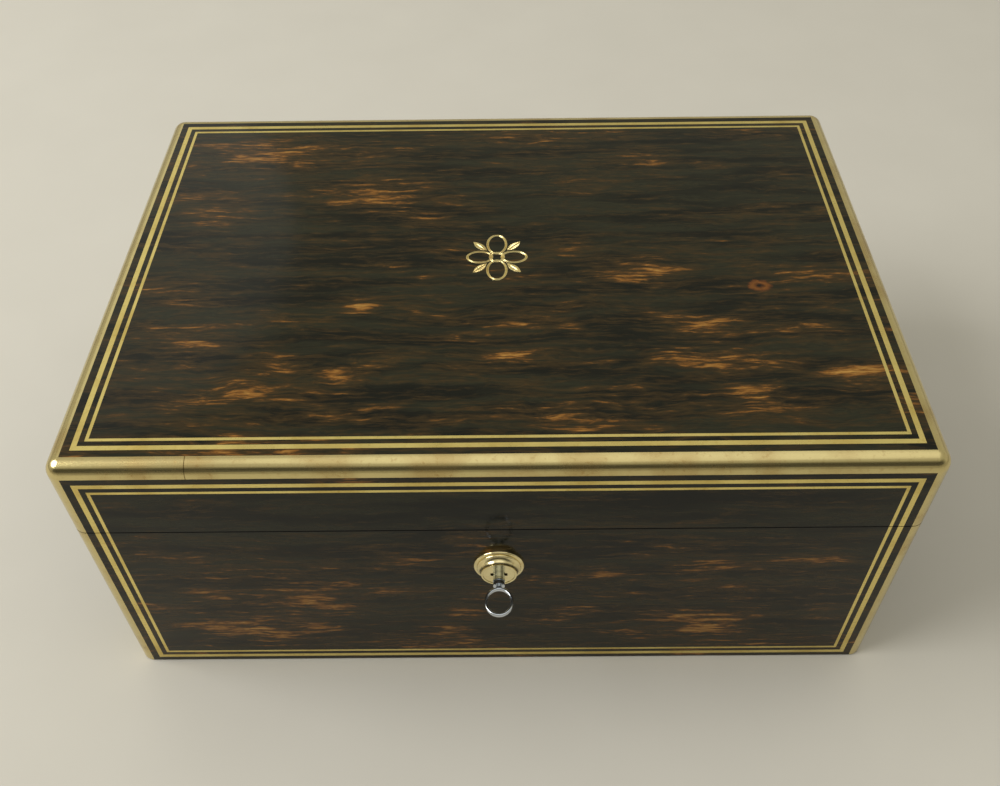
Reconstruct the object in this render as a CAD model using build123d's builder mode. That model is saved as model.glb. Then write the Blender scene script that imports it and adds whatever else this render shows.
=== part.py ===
from build123d import *
from math import cos, floor, radians, sin
import os

# An antique jewellery box: a veneered case with brass edges and brass strings let into
# the veneer, a hinged lid, a lock with its key, and a tray that lifts out.
# Millimetres, +Z up, front towards -Y, origin in the middle of the flat underside.

# Case
length = 330.0
depth = 230.0
height = 140.0
seam_height = 101.0  # middle of the saw cut that parts the lid from the base
saw_cut = 0.4
veneer = 1.5
wall_board_thickness = 9.5
top_board_thickness = 8.0
bottom_board_thickness = 8.0
baize_thickness = 0.6
baize_inset = 2.5
glue_line = 0.05  # hairline between two pieces that butt

# Brass edges and the brass strings of each face
edge_radius = 6.0
edge_joint_inset = 52.0  # from the left end to where the front edge is pieced
border = 3.1  # veneer between a brass edge and the wide string
foot_border = 2.4  # veneer below the wide string
wide_string = 2.1
string_gap = 2.2
narrow_string = 1.3
string_depth = 1.0

# Ornament let into the lid
ornament_y = 1.5
ornament_stroke = 1.3
long_loop_radii = (4.7, 6.9)
long_loop_offset = 8.6
cross_loop_radii = (6.0, 4.3)
cross_loop_offset = 7.5
ornament_eye_radius = 3.6
leaf_inner = 6.2
leaf_outer = 14.6
leaf_bulge = 1.7

# Hinges: two stopped butt hinges let into the rims at the back
hinge_inset = 70.0  # from each end of the box to the middle of its hinge
hinge_length = 50.0
leaf_width = 9.5
leaf_thickness = 1.5
knuckle_radius = 2.6
knuckle_count = 5
knuckle_gap = 0.15
knuckle_room = 0.4  # air round the barrel in the wood and the other leaf
hinge_end_room = 0.3
pin_radius = 1.2
pin_fit = 0.05
stop_radius = 5.5
stop_angle = 48.0  # face of each stop shoulder, from straight back
hinge_screw_pitch = 17.0

# Slotted countersunk screws
screw_head_radius = 2.2
screw_shank_radius = 1.1
screw_length = 7.5
screw_slot_width = 0.5
screw_slot_depth = 0.5

# Lock
lock_drop = 24.0  # from the seam down to the middle of the keyhole
lock_skin = 2.5  # wall left in front of the case
case_plate = 1.2
case_width = 60.0
case_drop = 15.0  # case below the keyhole
selvedge_thickness = 1.6
selvedge_ear = 8.0  # how far the selvedge runs past each side of the case
back_plate_ear = 6.0
back_screw_drop = 5.0  # below the keyhole
running_gap = 0.2

# Bolt with two fingers, moved by the drive pin of the turning barrel
barrel_sweep = 90.0
drive_throw = 3.5
drive_pin_radius = 1.0
drive_pin_room = 0.25
bolt_thickness = 2.0
bolt_block_half_width = 4.0
bolt_web = 2.0
bar_height = 4.8
bar_right = 22.0
post_width = 3.5
finger_height = 3.0
finger_tip = 8.7  # right finger with the lock open
finger_length = 8.7
lug_pitch = 26.0
lug_reach = 10.2  # from the lid's rim to the foot of the toes
lug_shank_width = 3.0
toe_height = 2.0
toe_end_room = 0.5
toe_side_gap = 0.3
toe_top_gap = 0.4
toe_foot_gap = 0.7
slot_room = 0.5
stud_spread = 28.0
stud_radius = 1.2
stud_side_room = 0.1
stud_end_room = 0.3
link_plate_width = 48.0
link_plate_thickness = 1.4
link_screw_edge = 3.5
spring_thickness = 0.4
spring_width = 3.0
spring_bend = 2.0
spring_reach = 15.0
spring_rise = 4.0

# Nozzle, barrel and key, as radii, and as distances out from the front face
flange_radius = 10.2
flange_edge = 0.7
flange_step_radius = 8.9
flange_step = 1.4
cove_radius = 8.3
cove_rise = 2.2
cove_hollow = 0.2
nozzle_face_radius = 7.15
nozzle_face = 5.0
bell_bulge = 0.5
nozzle_lip_radius = 6.45
nozzle_lip = 0.8
nozzle_bore_radius = 7.0
nozzle_tube_radius = 8.0
barrel_fit = 0.1
barrel_recess = 0.2
barrel_collar = 1.5
barrel_stem_radius = 5.5
barrel_floor = 2.2
key_stem_radius = 2.45
key_fit = 0.08
key_bore_radius = 1.1
drill_pin_radius = 1.0
drill_pin_tip = 1.3  # how far the drill pin stays back from the barrel's face
wing_reach = 3.2
wing_length = 2.8
wing_thickness = 1.4
wing_room = 0.2
key_stem_end = 8.2
key_groove_radius = 1.9
key_groove = 0.4
key_collar_radius = 2.3
key_collar = 1.6
key_neck_radius = 1.25
bow_start = 11.0
bow_width = 11.4
bow_length = 12.8
bow_band = 1.15
bow_thickness = 1.7
bow_rounding = 0.45

# Inside of the case
lining_thickness = 3.0
floor_pad_thickness = 3.0
lid_pad_thickness = 4.0
pad_room = 0.3
pad_rounding = 1.2

# Tray
tray_drop = 3.8  # from the rim of the base down to the rim of the tray
tray_height = 32.0
tray_room = 1.0
tray_wall = 3.0
tray_floor = 3.0
divider_thickness = 2.5
divider_drop = 3.0  # dividers stand this much below the rim of the tray
front_well = 68.5  # depth of the front row of wells
back_well = 61.0
ring_well = 117.5  # length of the well for the ring rolls
tray_pad_thickness = 2.5
roll_width = 10.0
roll_gap = 0.5
roll_height = 13.0
tab_width = 14.0
tab_thickness = 0.8
tab_rise = 6.0
tab_hold = 17.0

# Worked out from the sizes above
half_length = length / 2
half_depth = depth / 2
wall = veneer + wall_board_thickness
inner_half_length = half_length - wall
inner_half_depth = half_depth - wall
board_half_length = half_length - veneer
board_half_depth = half_depth - veneer
edge_half_length = half_length - edge_radius
edge_half_depth = half_depth - edge_radius
edge_bottom = height - edge_radius
base_bottom = baize_thickness
base_top = seam_height - saw_cut / 2
lid_bottom = seam_height + saw_cut / 2
lock_height = seam_height - lock_drop
top_veneer_bottom = height - veneer
lid_ceiling = top_veneer_bottom - top_board_thickness
floor_top = base_bottom + bottom_board_thickness
tray_top = base_top - tray_drop
tray_seat = tray_top - tray_height  # top of the lining boards that carry the tray
narrow_inset = border + wide_string + string_gap

# Each upright face as a plane with local x along the face and local y up
faces = {
    "front": Plane(origin=(0, -half_depth, 0), x_dir=(1, 0, 0), z_dir=(0, -1, 0)),
    "back": Plane(origin=(0, half_depth, 0), x_dir=(-1, 0, 0), z_dir=(0, 1, 0)),
    "left": Plane(origin=(-half_length, 0, 0), x_dir=(0, -1, 0), z_dir=(-1, 0, 0)),
    "right": Plane(origin=(half_length, 0, 0), x_dir=(0, 1, 0), z_dir=(1, 0, 0)),
}
face_half_widths = {
    "front": edge_half_length,
    "back": edge_half_length,
    "left": edge_half_depth,
    "right": edge_half_depth,
}
top_face = Plane.XY.offset(height)

os.makedirs("parts", exist_ok=True)


def save(part, label):
    part.label = label
    export_step(part, f"parts/{label}.step")


def mirrored(distance):
    return (-distance, distance)


def panel(x_low, x_high, y_low, y_high):
    # A rectangle given by its four sides
    with BuildSketch() as sketch:
        with Locations(((x_low + x_high) / 2, (y_low + y_high) / 2)):
            Rectangle(x_high - x_low, y_high - y_low)
    return sketch.sketch


def slab(x_low, x_high, y_low, y_high, z_low, z_high):
    with BuildPart() as solid:
        with BuildSketch(Plane.XY.offset(z_low)):
            add(panel(x_low, x_high, y_low, y_high))
        extrude(amount=z_high - z_low)
    return solid.part


# Case walls

def long_board(low, high):
    # Front wall: mitred at its ends and rebated there for the upright brass edges
    with BuildPart() as board:
        with BuildSketch(Plane.XY.offset(low)):
            Polygon(
                (-inner_half_length, -inner_half_depth),
                (inner_half_length, -inner_half_depth),
                (edge_half_length, -edge_half_depth),
                (edge_half_length, -board_half_depth),
                (-edge_half_length, -board_half_depth),
                (-edge_half_length, -edge_half_depth),
                align=None,
            )
        extrude(amount=high - low)
    return board.part


def short_board(low, high):
    # Right-hand wall, mitred and rebated the same way
    with BuildPart() as board:
        with BuildSketch(Plane.XY.offset(low)):
            Polygon(
                (inner_half_length, -inner_half_depth),
                (edge_half_length, -edge_half_depth),
                (board_half_length, -edge_half_depth),
                (board_half_length, edge_half_depth),
                (edge_half_length, edge_half_depth),
                (inner_half_length, inner_half_depth),
                align=None,
            )
        extrude(amount=high - low)
    return board.part


def string_groove(half_width, bottom, top, inset, width):
    # Groove all round a face, for one line of string
    with BuildSketch() as groove:
        add(panel(inset - half_width, half_width - inset, bottom, top))
        inner = inset + width
        add(
            panel(inner - half_width, half_width - inner, bottom + width, top - width),
            mode=Mode.SUBTRACT,
        )
    return groove.sketch


def string_strips(half_width, bottom, top, inset, width, low, high):
    # The mitred strips that fill the groove, as far as they lie between low and high
    outer = half_width - inset
    inner = outer - width
    with BuildSketch() as strips:
        for end, step in ((bottom, width), (top, -width)):
            Polygon(
                (glue_line - outer, end),
                (outer - glue_line, end),
                (inner - glue_line, end + step),
                (glue_line - inner, end + step),
                align=None,
            )
        for side in (-1, 1):
            Polygon(
                (side * outer, bottom),
                (side * outer, top),
                (side * inner, top - width),
                (side * inner, bottom + width),
                align=None,
            )
        add(panel(-half_width, half_width, low, high), mode=Mode.INTERSECT)
    return strips.sketch


# Upright faces: where the two string frames start and end, counted up from the floor
wall_strings = {
    "wide": (base_bottom + foot_border, edge_bottom - border, border, wide_string),
    "narrow": (
        base_bottom + foot_border + wide_string + string_gap,
        edge_bottom - narrow_inset,
        narrow_inset,
        narrow_string,
    ),
}


def wall_veneer(side, low, high):
    half_width = face_half_widths[side]
    with BuildPart() as sheet:
        with BuildSketch(faces[side]):
            add(panel(-half_width, half_width, low, high))
        extrude(amount=-veneer)
        for bottom, top, inset, width in wall_strings.values():
            with BuildSketch(faces[side]):
                add(string_groove(half_width, bottom, top, inset, width))
            extrude(amount=-string_depth, mode=Mode.SUBTRACT)
    return sheet.part


def wall_stringing(kind, low, high):
    bottom, top, inset, width = wall_strings[kind]
    with BuildPart() as strings:
        for side, plane in faces.items():
            half_width = face_half_widths[side]
            with BuildSketch(plane):
                add(string_strips(half_width, bottom, top, inset, width, low, high))
            extrude(amount=-string_depth)
    return strings.part


def corner_posts(low, high):
    # Quarter-round brass up the four corners
    with BuildPart() as posts:
        with BuildSketch(Plane.XY.offset(low)):
            RectangleRounded(length, depth, edge_radius)
            Rectangle(length - 2 * edge_radius, depth, mode=Mode.SUBTRACT)
            Rectangle(length, depth - 2 * edge_radius, mode=Mode.SUBTRACT)
        extrude(amount=high - low)
    return posts.part


def quarter_round(plane):
    with BuildSketch(plane) as section:
        Circle(edge_radius)
        Rectangle(
            edge_radius, edge_radius, align=(Align.MIN, Align.MIN), mode=Mode.INTERSECT
        )
    return section.sketch


def long_edge():
    # Brass along the front of the lid, with the rounded corner at each end
    start = Plane(origin=(0, -edge_half_depth, edge_bottom), x_dir=(0, -1, 0), z_dir=(-1, 0, 0))
    end = start.offset(-edge_half_length)
    with BuildPart() as edge:
        extrude(quarter_round(start), amount=-edge_half_length)
        revolve(
            quarter_round(end),
            axis=Axis((edge_half_length, -edge_half_depth, 0), (0, 0, 1)),
            revolution_arc=90,
        )
        mirror(about=Plane.YZ)
    return edge.part


# Screws, with the head at the origin and the point downwards

with BuildPart() as screw_blank:
    with BuildSketch(Plane.XZ):
        Polygon(
            (0, 0),
            (screw_head_radius, 0),
            (screw_shank_radius, screw_shank_radius - screw_head_radius),
            (screw_shank_radius, screw_shank_radius - screw_length),
            (0, -screw_length),
            align=None,
        )
    revolve(axis=Axis.Z)

with BuildPart() as slotted_screw:
    add(screw_blank.part)
    with Locations((0, 0, -screw_slot_depth / 2)):
        Box(2 * screw_head_radius, screw_slot_width, screw_slot_depth, mode=Mode.SUBTRACT)


# Hinges

hinge_places = (hinge_inset - half_length, half_length - hinge_inset)
knuckle_length = (hinge_length - (knuckle_count - 1) * knuckle_gap) / knuckle_count
leaf_flat = leaf_width - knuckle_radius - knuckle_room
leaf_screw_y = half_depth - leaf_width + leaf_flat / 2


def hinge_seats(side):
    # What is cut from the rim for both hinges, with side -1 for the base and 1 for the lid
    with BuildPart() as seats:
        with BuildSketch(Plane.XY.offset(seam_height + side * saw_cut / 2)):
            with Locations(*[(x, half_depth - leaf_width / 2) for x in hinge_places]):
                Rectangle(hinge_length, leaf_width)
        extrude(amount=side * leaf_thickness)
        with Locations(*[(x, half_depth, seam_height) for x in hinge_places]):
            Cylinder(
                knuckle_radius + knuckle_room,
                hinge_length + 2 * hinge_end_room,
                rotation=(0, 90, 0),
            )
    return seats.part


def hinge_screw_places(side):
    turn = 0 if side < 0 else 180
    return [
        Location((x + step, leaf_screw_y, seam_height + side * saw_cut / 2), (turn, 0, 0))
        for x in hinge_places
        for step in (-hinge_screw_pitch, 0, hinge_screw_pitch)
    ]


def stop_shoulder(side, start, run, inner_radius):
    # Bar behind the barrel that meets its twin when the lid is open
    face = side * stop_angle
    reach = 2 * stop_radius
    with BuildPart() as shoulder:
        with BuildSketch(Plane.YZ.offset(start)):
            with Locations((half_depth, seam_height)):
                Circle(stop_radius)
                if inner_radius > 0:
                    Circle(inner_radius, mode=Mode.SUBTRACT)
            Polygon(
                (half_depth, seam_height),
                (half_depth, seam_height + side * reach),
                (half_depth + reach, seam_height + side * reach),
                (
                    half_depth + reach * cos(radians(face)),
                    seam_height + reach * sin(radians(face)),
                ),
                align=None,
                mode=Mode.INTERSECT,
            )
        extrude(amount=run)
    return shoulder.part


def hinge_leaf(x_middle, side):
    # The base carries the first, third and fifth knuckle, the lid the others
    rim = seam_height + side * saw_cut / 2
    first = 0 if side < 0 else 1
    start = x_middle - hinge_length / 2
    pitch = knuckle_length + knuckle_gap
    room = knuckle_radius + knuckle_room
    with BuildPart() as leaf:
        with BuildSketch(Plane.XY.offset(rim)):
            add(panel(start, start + hinge_length, half_depth - leaf_width, half_depth))
        extrude(amount=side * leaf_thickness)
        with Locations((x_middle, half_depth, seam_height)):
            Cylinder(
                room,
                hinge_length + 2 * hinge_end_room,
                rotation=(0, 90, 0),
                mode=Mode.SUBTRACT,
            )
        add(stop_shoulder(side, start, hinge_length, room))
        for index in range(first, knuckle_count, 2):
            low = start + index * pitch
            with Locations((low + knuckle_length / 2, half_depth, seam_height)):
                Cylinder(knuckle_radius, knuckle_length, rotation=(0, 90, 0))
            add(stop_shoulder(side, low, knuckle_length, 0))
            web_low, web_high = sorted((rim, rim + side * leaf_thickness))
            web_start = half_depth - leaf_width / 2
            add(slab(low, low + knuckle_length, web_start, half_depth, web_low, web_high))
        with Locations((x_middle, half_depth, seam_height)):
            Cylinder(
                pin_radius + pin_fit,
                hinge_length + 2 * hinge_end_room,
                rotation=(0, 90, 0),
                mode=Mode.SUBTRACT,
            )
        with Locations(*hinge_screw_places(side)):
            add(screw_blank.part, mode=Mode.SUBTRACT)
    return leaf.part


# Lock: depths are counted in from the front face, heights from the underside

case_half_width = case_width / 2
selvedge_half_width = case_half_width + selvedge_ear
back_plate_half_width = case_half_width + back_plate_ear
case_low = lock_height - case_drop
case_high = base_top - selvedge_thickness
back_plate_front = wall - case_plate
bolt_back = back_plate_front - running_gap
bolt_front = bolt_back - bolt_thickness
barrel_end = bolt_front - running_gap
bolt_travel = 2 * drive_throw * sin(radians(barrel_sweep / 2))
toe_length = bolt_travel + toe_end_room
toe_low = lid_bottom - lug_reach
toe_high = toe_low + toe_height
finger_low = toe_high + toe_top_gap
finger_high = finger_low + finger_height
bar_high = toe_low - toe_foot_gap
bar_low = bar_high - bar_height
shank_places = [finger_tip + toe_side_gap + toe_length - shift for shift in (0, lug_pitch)]
left_tip = finger_tip - lug_pitch
bolt_left = left_tip - finger_length
drive_slot_x = -bolt_travel / 2
drive_slot_low = (
    lock_height
    + drive_throw * cos(radians(barrel_sweep / 2))
    - drive_pin_radius
    - drive_pin_room
)
drive_slot_high = lock_height + drive_throw + drive_pin_radius + drive_pin_room
front = faces["front"]
lock_axis = Axis((0, 0, lock_height), (0, 1, 0))
# Local x is the radius and local y the distance out from the front face
turned = Plane(origin=(0, -half_depth, lock_height), x_dir=(1, 0, 0), z_dir=(0, 0, -1))

selvedge_screws = [
    Location((x, (lock_skin + wall) / 2 - half_depth, base_top))
    for x in mirrored(case_half_width + selvedge_ear / 2)
]
back_plate_screws = [
    Location((x, -inner_half_depth, lock_height - back_screw_drop), (-90, 0, 0))
    for x in mirrored(case_half_width + back_plate_ear / 2)
]
link_screws = [
    Location((x, (lock_skin + wall) / 2 - half_depth, lid_bottom), (180, 0, 0))
    for x in mirrored(link_plate_width / 2 - link_screw_edge)
]

# Base

with BuildPart() as base_front_board:
    add(long_board(base_bottom, base_top))
    # Mortise for the lock, open at the rim and the inner face
    with BuildSketch(front.offset(-lock_skin)):
        add(panel(*mirrored(case_half_width), case_low, base_top))
        add(panel(*mirrored(selvedge_half_width), case_high, base_top))
    extrude(amount=lock_skin - wall, mode=Mode.SUBTRACT)
    with BuildSketch(front.offset(-back_plate_front)):
        add(panel(*mirrored(back_plate_half_width), case_low, case_high))
    extrude(amount=-case_plate, mode=Mode.SUBTRACT)
    with BuildSketch(front):
        with Locations((0, lock_height)):
            Circle(nozzle_tube_radius)
    extrude(amount=-lock_skin, mode=Mode.SUBTRACT)
    with Locations(*selvedge_screws, *back_plate_screws):
        add(screw_blank.part, mode=Mode.SUBTRACT)
save(base_front_board.part, "base_front_board")

with BuildPart() as base_back_board:
    mirror(long_board(base_bottom, base_top), about=Plane.XZ)
    add(hinge_seats(-1), mode=Mode.SUBTRACT)
    with Locations(*hinge_screw_places(-1)):
        add(screw_blank.part, mode=Mode.SUBTRACT)
save(base_back_board.part, "base_back_board")

with BuildPart() as base_left_board:
    mirror(short_board(base_bottom, base_top), about=Plane.YZ)
save(base_left_board.part, "base_left_board")

with BuildPart() as base_right_board:
    add(short_board(base_bottom, base_top))
save(base_right_board.part, "base_right_board")

with BuildPart() as base_bottom_board:
    with BuildSketch(Plane.XY.offset(base_bottom)):
        Rectangle(2 * inner_half_length, 2 * inner_half_depth)
    extrude(amount=bottom_board_thickness)
save(base_bottom_board.part, "base_bottom_board")

with BuildPart() as base_front_veneer:
    add(wall_veneer("front", base_bottom, base_top))
    with BuildSketch(front):
        with Locations((0, lock_height)):
            Circle(nozzle_tube_radius)
    extrude(amount=-veneer, mode=Mode.SUBTRACT)
save(base_front_veneer.part, "base_front_veneer")

with BuildPart() as base_back_veneer:
    add(wall_veneer("back", base_bottom, base_top))
    add(hinge_seats(-1), mode=Mode.SUBTRACT)
save(base_back_veneer.part, "base_back_veneer")

for side in ("left", "right"):
    save(wall_veneer(side, base_bottom, base_top), f"base_{side}_veneer")

save(wall_stringing("wide", base_bottom, base_top), "base_wide_stringing")
save(wall_stringing("narrow", base_bottom, base_top), "base_narrow_stringing")
save(corner_posts(base_bottom, base_top), "base_corner_brasses")

with BuildPart() as underside_baize:
    with BuildSketch():
        RectangleRounded(
            length - 2 * baize_inset, depth - 2 * baize_inset, edge_radius - baize_inset
        )
    extrude(amount=baize_thickness)
save(underside_baize.part, "underside_baize")

# Lining boards inside the base, whose top edges carry the tray
with BuildPart() as tray_ledges:
    with BuildSketch(Plane.XY.offset(floor_top)):
        with Locations(*[(0, y) for y in mirrored(inner_half_depth - lining_thickness / 2)]):
            Rectangle(2 * inner_half_length, lining_thickness)
        with Locations(*[(x, 0) for x in mirrored(inner_half_length - lining_thickness / 2)]):
            Rectangle(lining_thickness, 2 * (inner_half_depth - lining_thickness - glue_line))
    extrude(amount=tray_seat - floor_top)
save(tray_ledges.part, "tray_ledges")

with BuildPart() as base_floor_pad:
    with BuildSketch(Plane.XY.offset(floor_top)):
        Rectangle(
            2 * (inner_half_length - lining_thickness - pad_room),
            2 * (inner_half_depth - lining_thickness - pad_room),
        )
    extrude(amount=floor_pad_thickness)
    fillet(base_floor_pad.faces().sort_by(Axis.Z)[-1].edges(), radius=pad_rounding)
save(base_floor_pad.part, "base_floor_pad")

# Hinges

for place, x_middle in zip(("left", "right"), hinge_places):
    save(hinge_leaf(x_middle, -1), f"hinge_{place}_base_leaf")
    save(hinge_leaf(x_middle, 1), f"hinge_{place}_lid_leaf")

with BuildPart() as hinge_pins:
    with Locations(*[(x, half_depth, seam_height) for x in hinge_places]):
        Cylinder(pin_radius, hinge_length, rotation=(0, 90, 0))
save(hinge_pins.part, "hinge_pins")

with BuildPart() as hinge_base_screws:
    with Locations(*hinge_screw_places(-1)):
        add(slotted_screw.part)
save(hinge_base_screws.part, "hinge_base_screws")

with BuildPart() as hinge_lid_screws:
    with Locations(*hinge_screw_places(1)):
        add(slotted_screw.part)
save(hinge_lid_screws.part, "hinge_lid_screws")

# Lock

with BuildPart() as lock_case:
    with BuildSketch(front.offset(-lock_skin)):
        add(panel(*mirrored(case_half_width), case_low, case_high))
    extrude(amount=lock_skin - back_plate_front)
    with BuildSketch(front.offset(-lock_skin - case_plate)):
        add(panel(*mirrored(case_half_width - case_plate), case_low + case_plate, case_high))
    extrude(amount=lock_skin + case_plate - back_plate_front, mode=Mode.SUBTRACT)
    with BuildSketch(front.offset(-lock_skin)):
        add(panel(*mirrored(selvedge_half_width), case_high, base_top))
    extrude(amount=lock_skin - wall)
    # Slots that the lugs of the lid pass through
    with BuildSketch(Plane.XY.offset(base_top)):
        for shank in shank_places:
            add(
                panel(
                    shank - toe_length - slot_room,
                    shank + lug_shank_width + slot_room,
                    bolt_front - slot_room - half_depth,
                    bolt_back + slot_room - half_depth,
                )
            )
    extrude(amount=-selvedge_thickness, mode=Mode.SUBTRACT)
    # Bearing of the barrel
    with BuildSketch(front.offset(-lock_skin)):
        with Locations((0, lock_height)):
            Circle(barrel_stem_radius + barrel_fit)
    extrude(amount=-case_plate, mode=Mode.SUBTRACT)
    with Locations(*selvedge_screws):
        add(screw_blank.part, mode=Mode.SUBTRACT)
save(lock_case.part, "lock_case")

with BuildPart() as lock_back_plate:
    with BuildSketch(front.offset(-wall)):
        add(panel(*mirrored(back_plate_half_width), case_low, case_high))
    extrude(amount=case_plate)
    # Studs that guide the bolt
    with BuildSketch(front.offset(-back_plate_front)):
        with Locations(*[(x, (bar_low + bar_high) / 2) for x in mirrored(stud_spread / 2)]):
            Circle(stud_radius)
    extrude(amount=bolt_thickness + 2 * running_gap)
    with Locations(*back_plate_screws):
        add(screw_blank.part, mode=Mode.SUBTRACT)
save(lock_back_plate.part, "lock_back_plate")

with BuildPart() as lock_screws:
    with Locations(*selvedge_screws, *back_plate_screws):
        add(slotted_screw.part)
save(lock_screws.part, "lock_screws")

with BuildPart() as lock_nozzle:
    with BuildSketch(turned):
        with BuildLine():
            Polyline(
                (nozzle_tube_radius, -lock_skin),
                (nozzle_tube_radius, 0),
                (flange_radius, 0),
                (flange_radius, flange_edge),
            )
            rim = RadiusArc(
                (flange_radius, flange_edge),
                (flange_radius - flange_edge, 2 * flange_edge),
                -flange_edge,
            )
            step = (flange_step_radius, flange_step)
            Line(rim @ 1, step)
            cove = SagittaArc(step, (cove_radius, cove_rise), -cove_hollow)
            bell = SagittaArc(cove @ 1, (nozzle_face_radius, nozzle_face), bell_bulge)
            Polyline(
                bell @ 1,
                (nozzle_lip_radius, nozzle_face),
                (nozzle_lip_radius, nozzle_face - nozzle_lip),
                (nozzle_bore_radius, nozzle_face - nozzle_lip),
                (nozzle_bore_radius, -lock_skin),
                (nozzle_tube_radius, -lock_skin),
            )
        make_face()
    revolve(axis=lock_axis)
save(lock_nozzle.part, "lock_nozzle")

collar_front = nozzle_face - nozzle_lip - barrel_fit
collar_back = collar_front - barrel_collar
barrel_face = nozzle_face - barrel_recess
key_bore_end = barrel_floor - barrel_end
start_angle = radians(barrel_sweep / 2)

with BuildPart() as lock_barrel:
    with BuildSketch(turned):
        Polygon(
            (0, -barrel_end),
            (barrel_stem_radius, -barrel_end),
            (barrel_stem_radius, collar_back),
            (nozzle_bore_radius - barrel_fit, collar_back),
            (nozzle_bore_radius - barrel_fit, collar_front),
            (nozzle_lip_radius - barrel_fit, collar_front),
            (nozzle_lip_radius - barrel_fit, barrel_face),
            (key_stem_radius + key_fit, barrel_face),
            (key_stem_radius + key_fit, key_bore_end),
            (drill_pin_radius, key_bore_end),
            (drill_pin_radius, barrel_face - drill_pin_tip - drill_pin_radius),
            (0, barrel_face - drill_pin_tip),
            align=None,
        )
    revolve(axis=lock_axis)
    # Slots in the bore for the wings of the key
    with BuildSketch(front.offset(barrel_face)):
        with Locations((0, lock_height)):
            Rectangle(2 * (wing_reach + wing_room), wing_thickness + 2 * wing_room)
            Circle(key_stem_radius, mode=Mode.SUBTRACT)
    extrude(amount=key_bore_end - barrel_face, mode=Mode.SUBTRACT)
    # Drive pin behind
    with BuildSketch(front.offset(-barrel_end)):
        with Locations(
            (-drive_throw * sin(start_angle), lock_height + drive_throw * cos(start_angle))
        ):
            Circle(drive_pin_radius)
    extrude(amount=-bolt_thickness)
save(lock_barrel.part, "lock_barrel")

with BuildPart() as lock_bolt:
    with BuildSketch(front.offset(-bolt_front)):
        block_left = drive_slot_x - bolt_block_half_width
        block_right = drive_slot_x + bolt_block_half_width
        add(panel(bolt_left, bar_right, bar_low, bar_high))
        add(panel(block_left, block_right, drive_slot_low - bolt_web, finger_high))
        add(panel(bolt_left, bolt_left + post_width, bar_low, finger_high))
        add(panel(block_left, finger_tip, finger_low, finger_high))
        add(panel(bolt_left, left_tip, finger_low, finger_high))
        # Upright slot for the drive pin and level slots for the guide studs
        half_slot = drive_pin_radius + drive_pin_room
        add(
            panel(
                drive_slot_x - half_slot,
                drive_slot_x + half_slot,
                drive_slot_low,
                drive_slot_high,
            ),
            mode=Mode.SUBTRACT,
        )
        stud_z = (bar_low + bar_high) / 2
        for stud_x in mirrored(stud_spread / 2):
            add(
                panel(
                    stud_x - bolt_travel - stud_radius - stud_end_room,
                    stud_x + stud_radius + stud_end_room,
                    stud_z - stud_radius - stud_side_room,
                    stud_z + stud_radius + stud_side_room,
                ),
                mode=Mode.SUBTRACT,
            )
    extrude(amount=-bolt_thickness)
save(lock_bolt.part, "lock_bolt")

# Leaf spring that steadies the bolt from below, its foot against the side of the case
with BuildPart() as lock_spring:
    spring_x = case_plate + spring_thickness / 2 - case_half_width
    spring_top = bar_low - running_gap - spring_thickness / 2
    with BuildSketch(front.offset(-bolt_front)):
        with BuildLine():
            FilletPolyline(
                (spring_x, case_low + case_plate + spring_thickness),
                (spring_x, spring_top - spring_rise),
                (spring_x + spring_reach, spring_top),
                radius=spring_bend,
            )
        trace(line_width=spring_thickness)
    extrude(amount=spring_width / 2, both=True)
save(lock_spring.part, "lock_spring")

with BuildPart() as lock_link_plate:
    with BuildSketch(Plane.XY.offset(lid_bottom)):
        add(
            panel(*mirrored(link_plate_width / 2), lock_skin - half_depth, wall - half_depth)
        )
    extrude(amount=link_plate_thickness)
    with BuildSketch(front.offset(-bolt_front)):
        for shank in shank_places:
            add(panel(shank, shank + lug_shank_width, toe_low, lid_bottom))
            add(panel(shank - toe_length, shank, toe_low, toe_high))
    extrude(amount=-bolt_thickness)
    with Locations(*link_screws):
        add(screw_blank.part, mode=Mode.SUBTRACT)
save(lock_link_plate.part, "lock_link_plate")

with BuildPart() as link_plate_screws:
    with Locations(*link_screws):
        add(slotted_screw.part)
save(link_plate_screws.part, "link_plate_screws")

key_tip = key_bore_end + running_gap

with BuildPart() as key:
    with BuildSketch(turned):
        groove_end = key_stem_end + key_groove
        collar_end = groove_end + key_collar
        Polygon(
            (key_bore_radius, key_tip),
            (key_stem_radius, key_tip),
            (key_stem_radius, key_stem_end),
            (key_groove_radius, key_stem_end),
            (key_groove_radius, groove_end),
            (key_collar_radius, groove_end),
            (key_collar_radius, collar_end),
            (key_neck_radius, collar_end),
            (key_neck_radius, bow_start + bow_band / 2),
            (0, bow_start + bow_band / 2),
            (0, barrel_face),
            (key_bore_radius, barrel_face),
            align=None,
        )
    revolve(axis=lock_axis)
    # Wings of the bit
    with BuildSketch(front.offset(key_tip)):
        with Locations((0, lock_height)):
            Rectangle(2 * wing_reach, wing_thickness)
            Circle(key_stem_radius - wing_room, mode=Mode.SUBTRACT)
    extrude(amount=wing_length)
    # Ring bow, flat in the level plane while the lock is open
    with BuildPart(mode=Mode.PRIVATE) as bow:
        with BuildSketch(Plane.XY.offset(lock_height)):
            with Locations((0, -half_depth - bow_start - bow_length / 2)):
                Ellipse(bow_width / 2, bow_length / 2)
                Ellipse(bow_width / 2 - bow_band, bow_length / 2 - bow_band, mode=Mode.SUBTRACT)
        extrude(amount=bow_thickness / 2, both=True)
        fillet(bow.edges().filter_by(GeomType.ELLIPSE), radius=bow_rounding)
    add(bow.part)
save(key.part, "key")

# Lid

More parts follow.
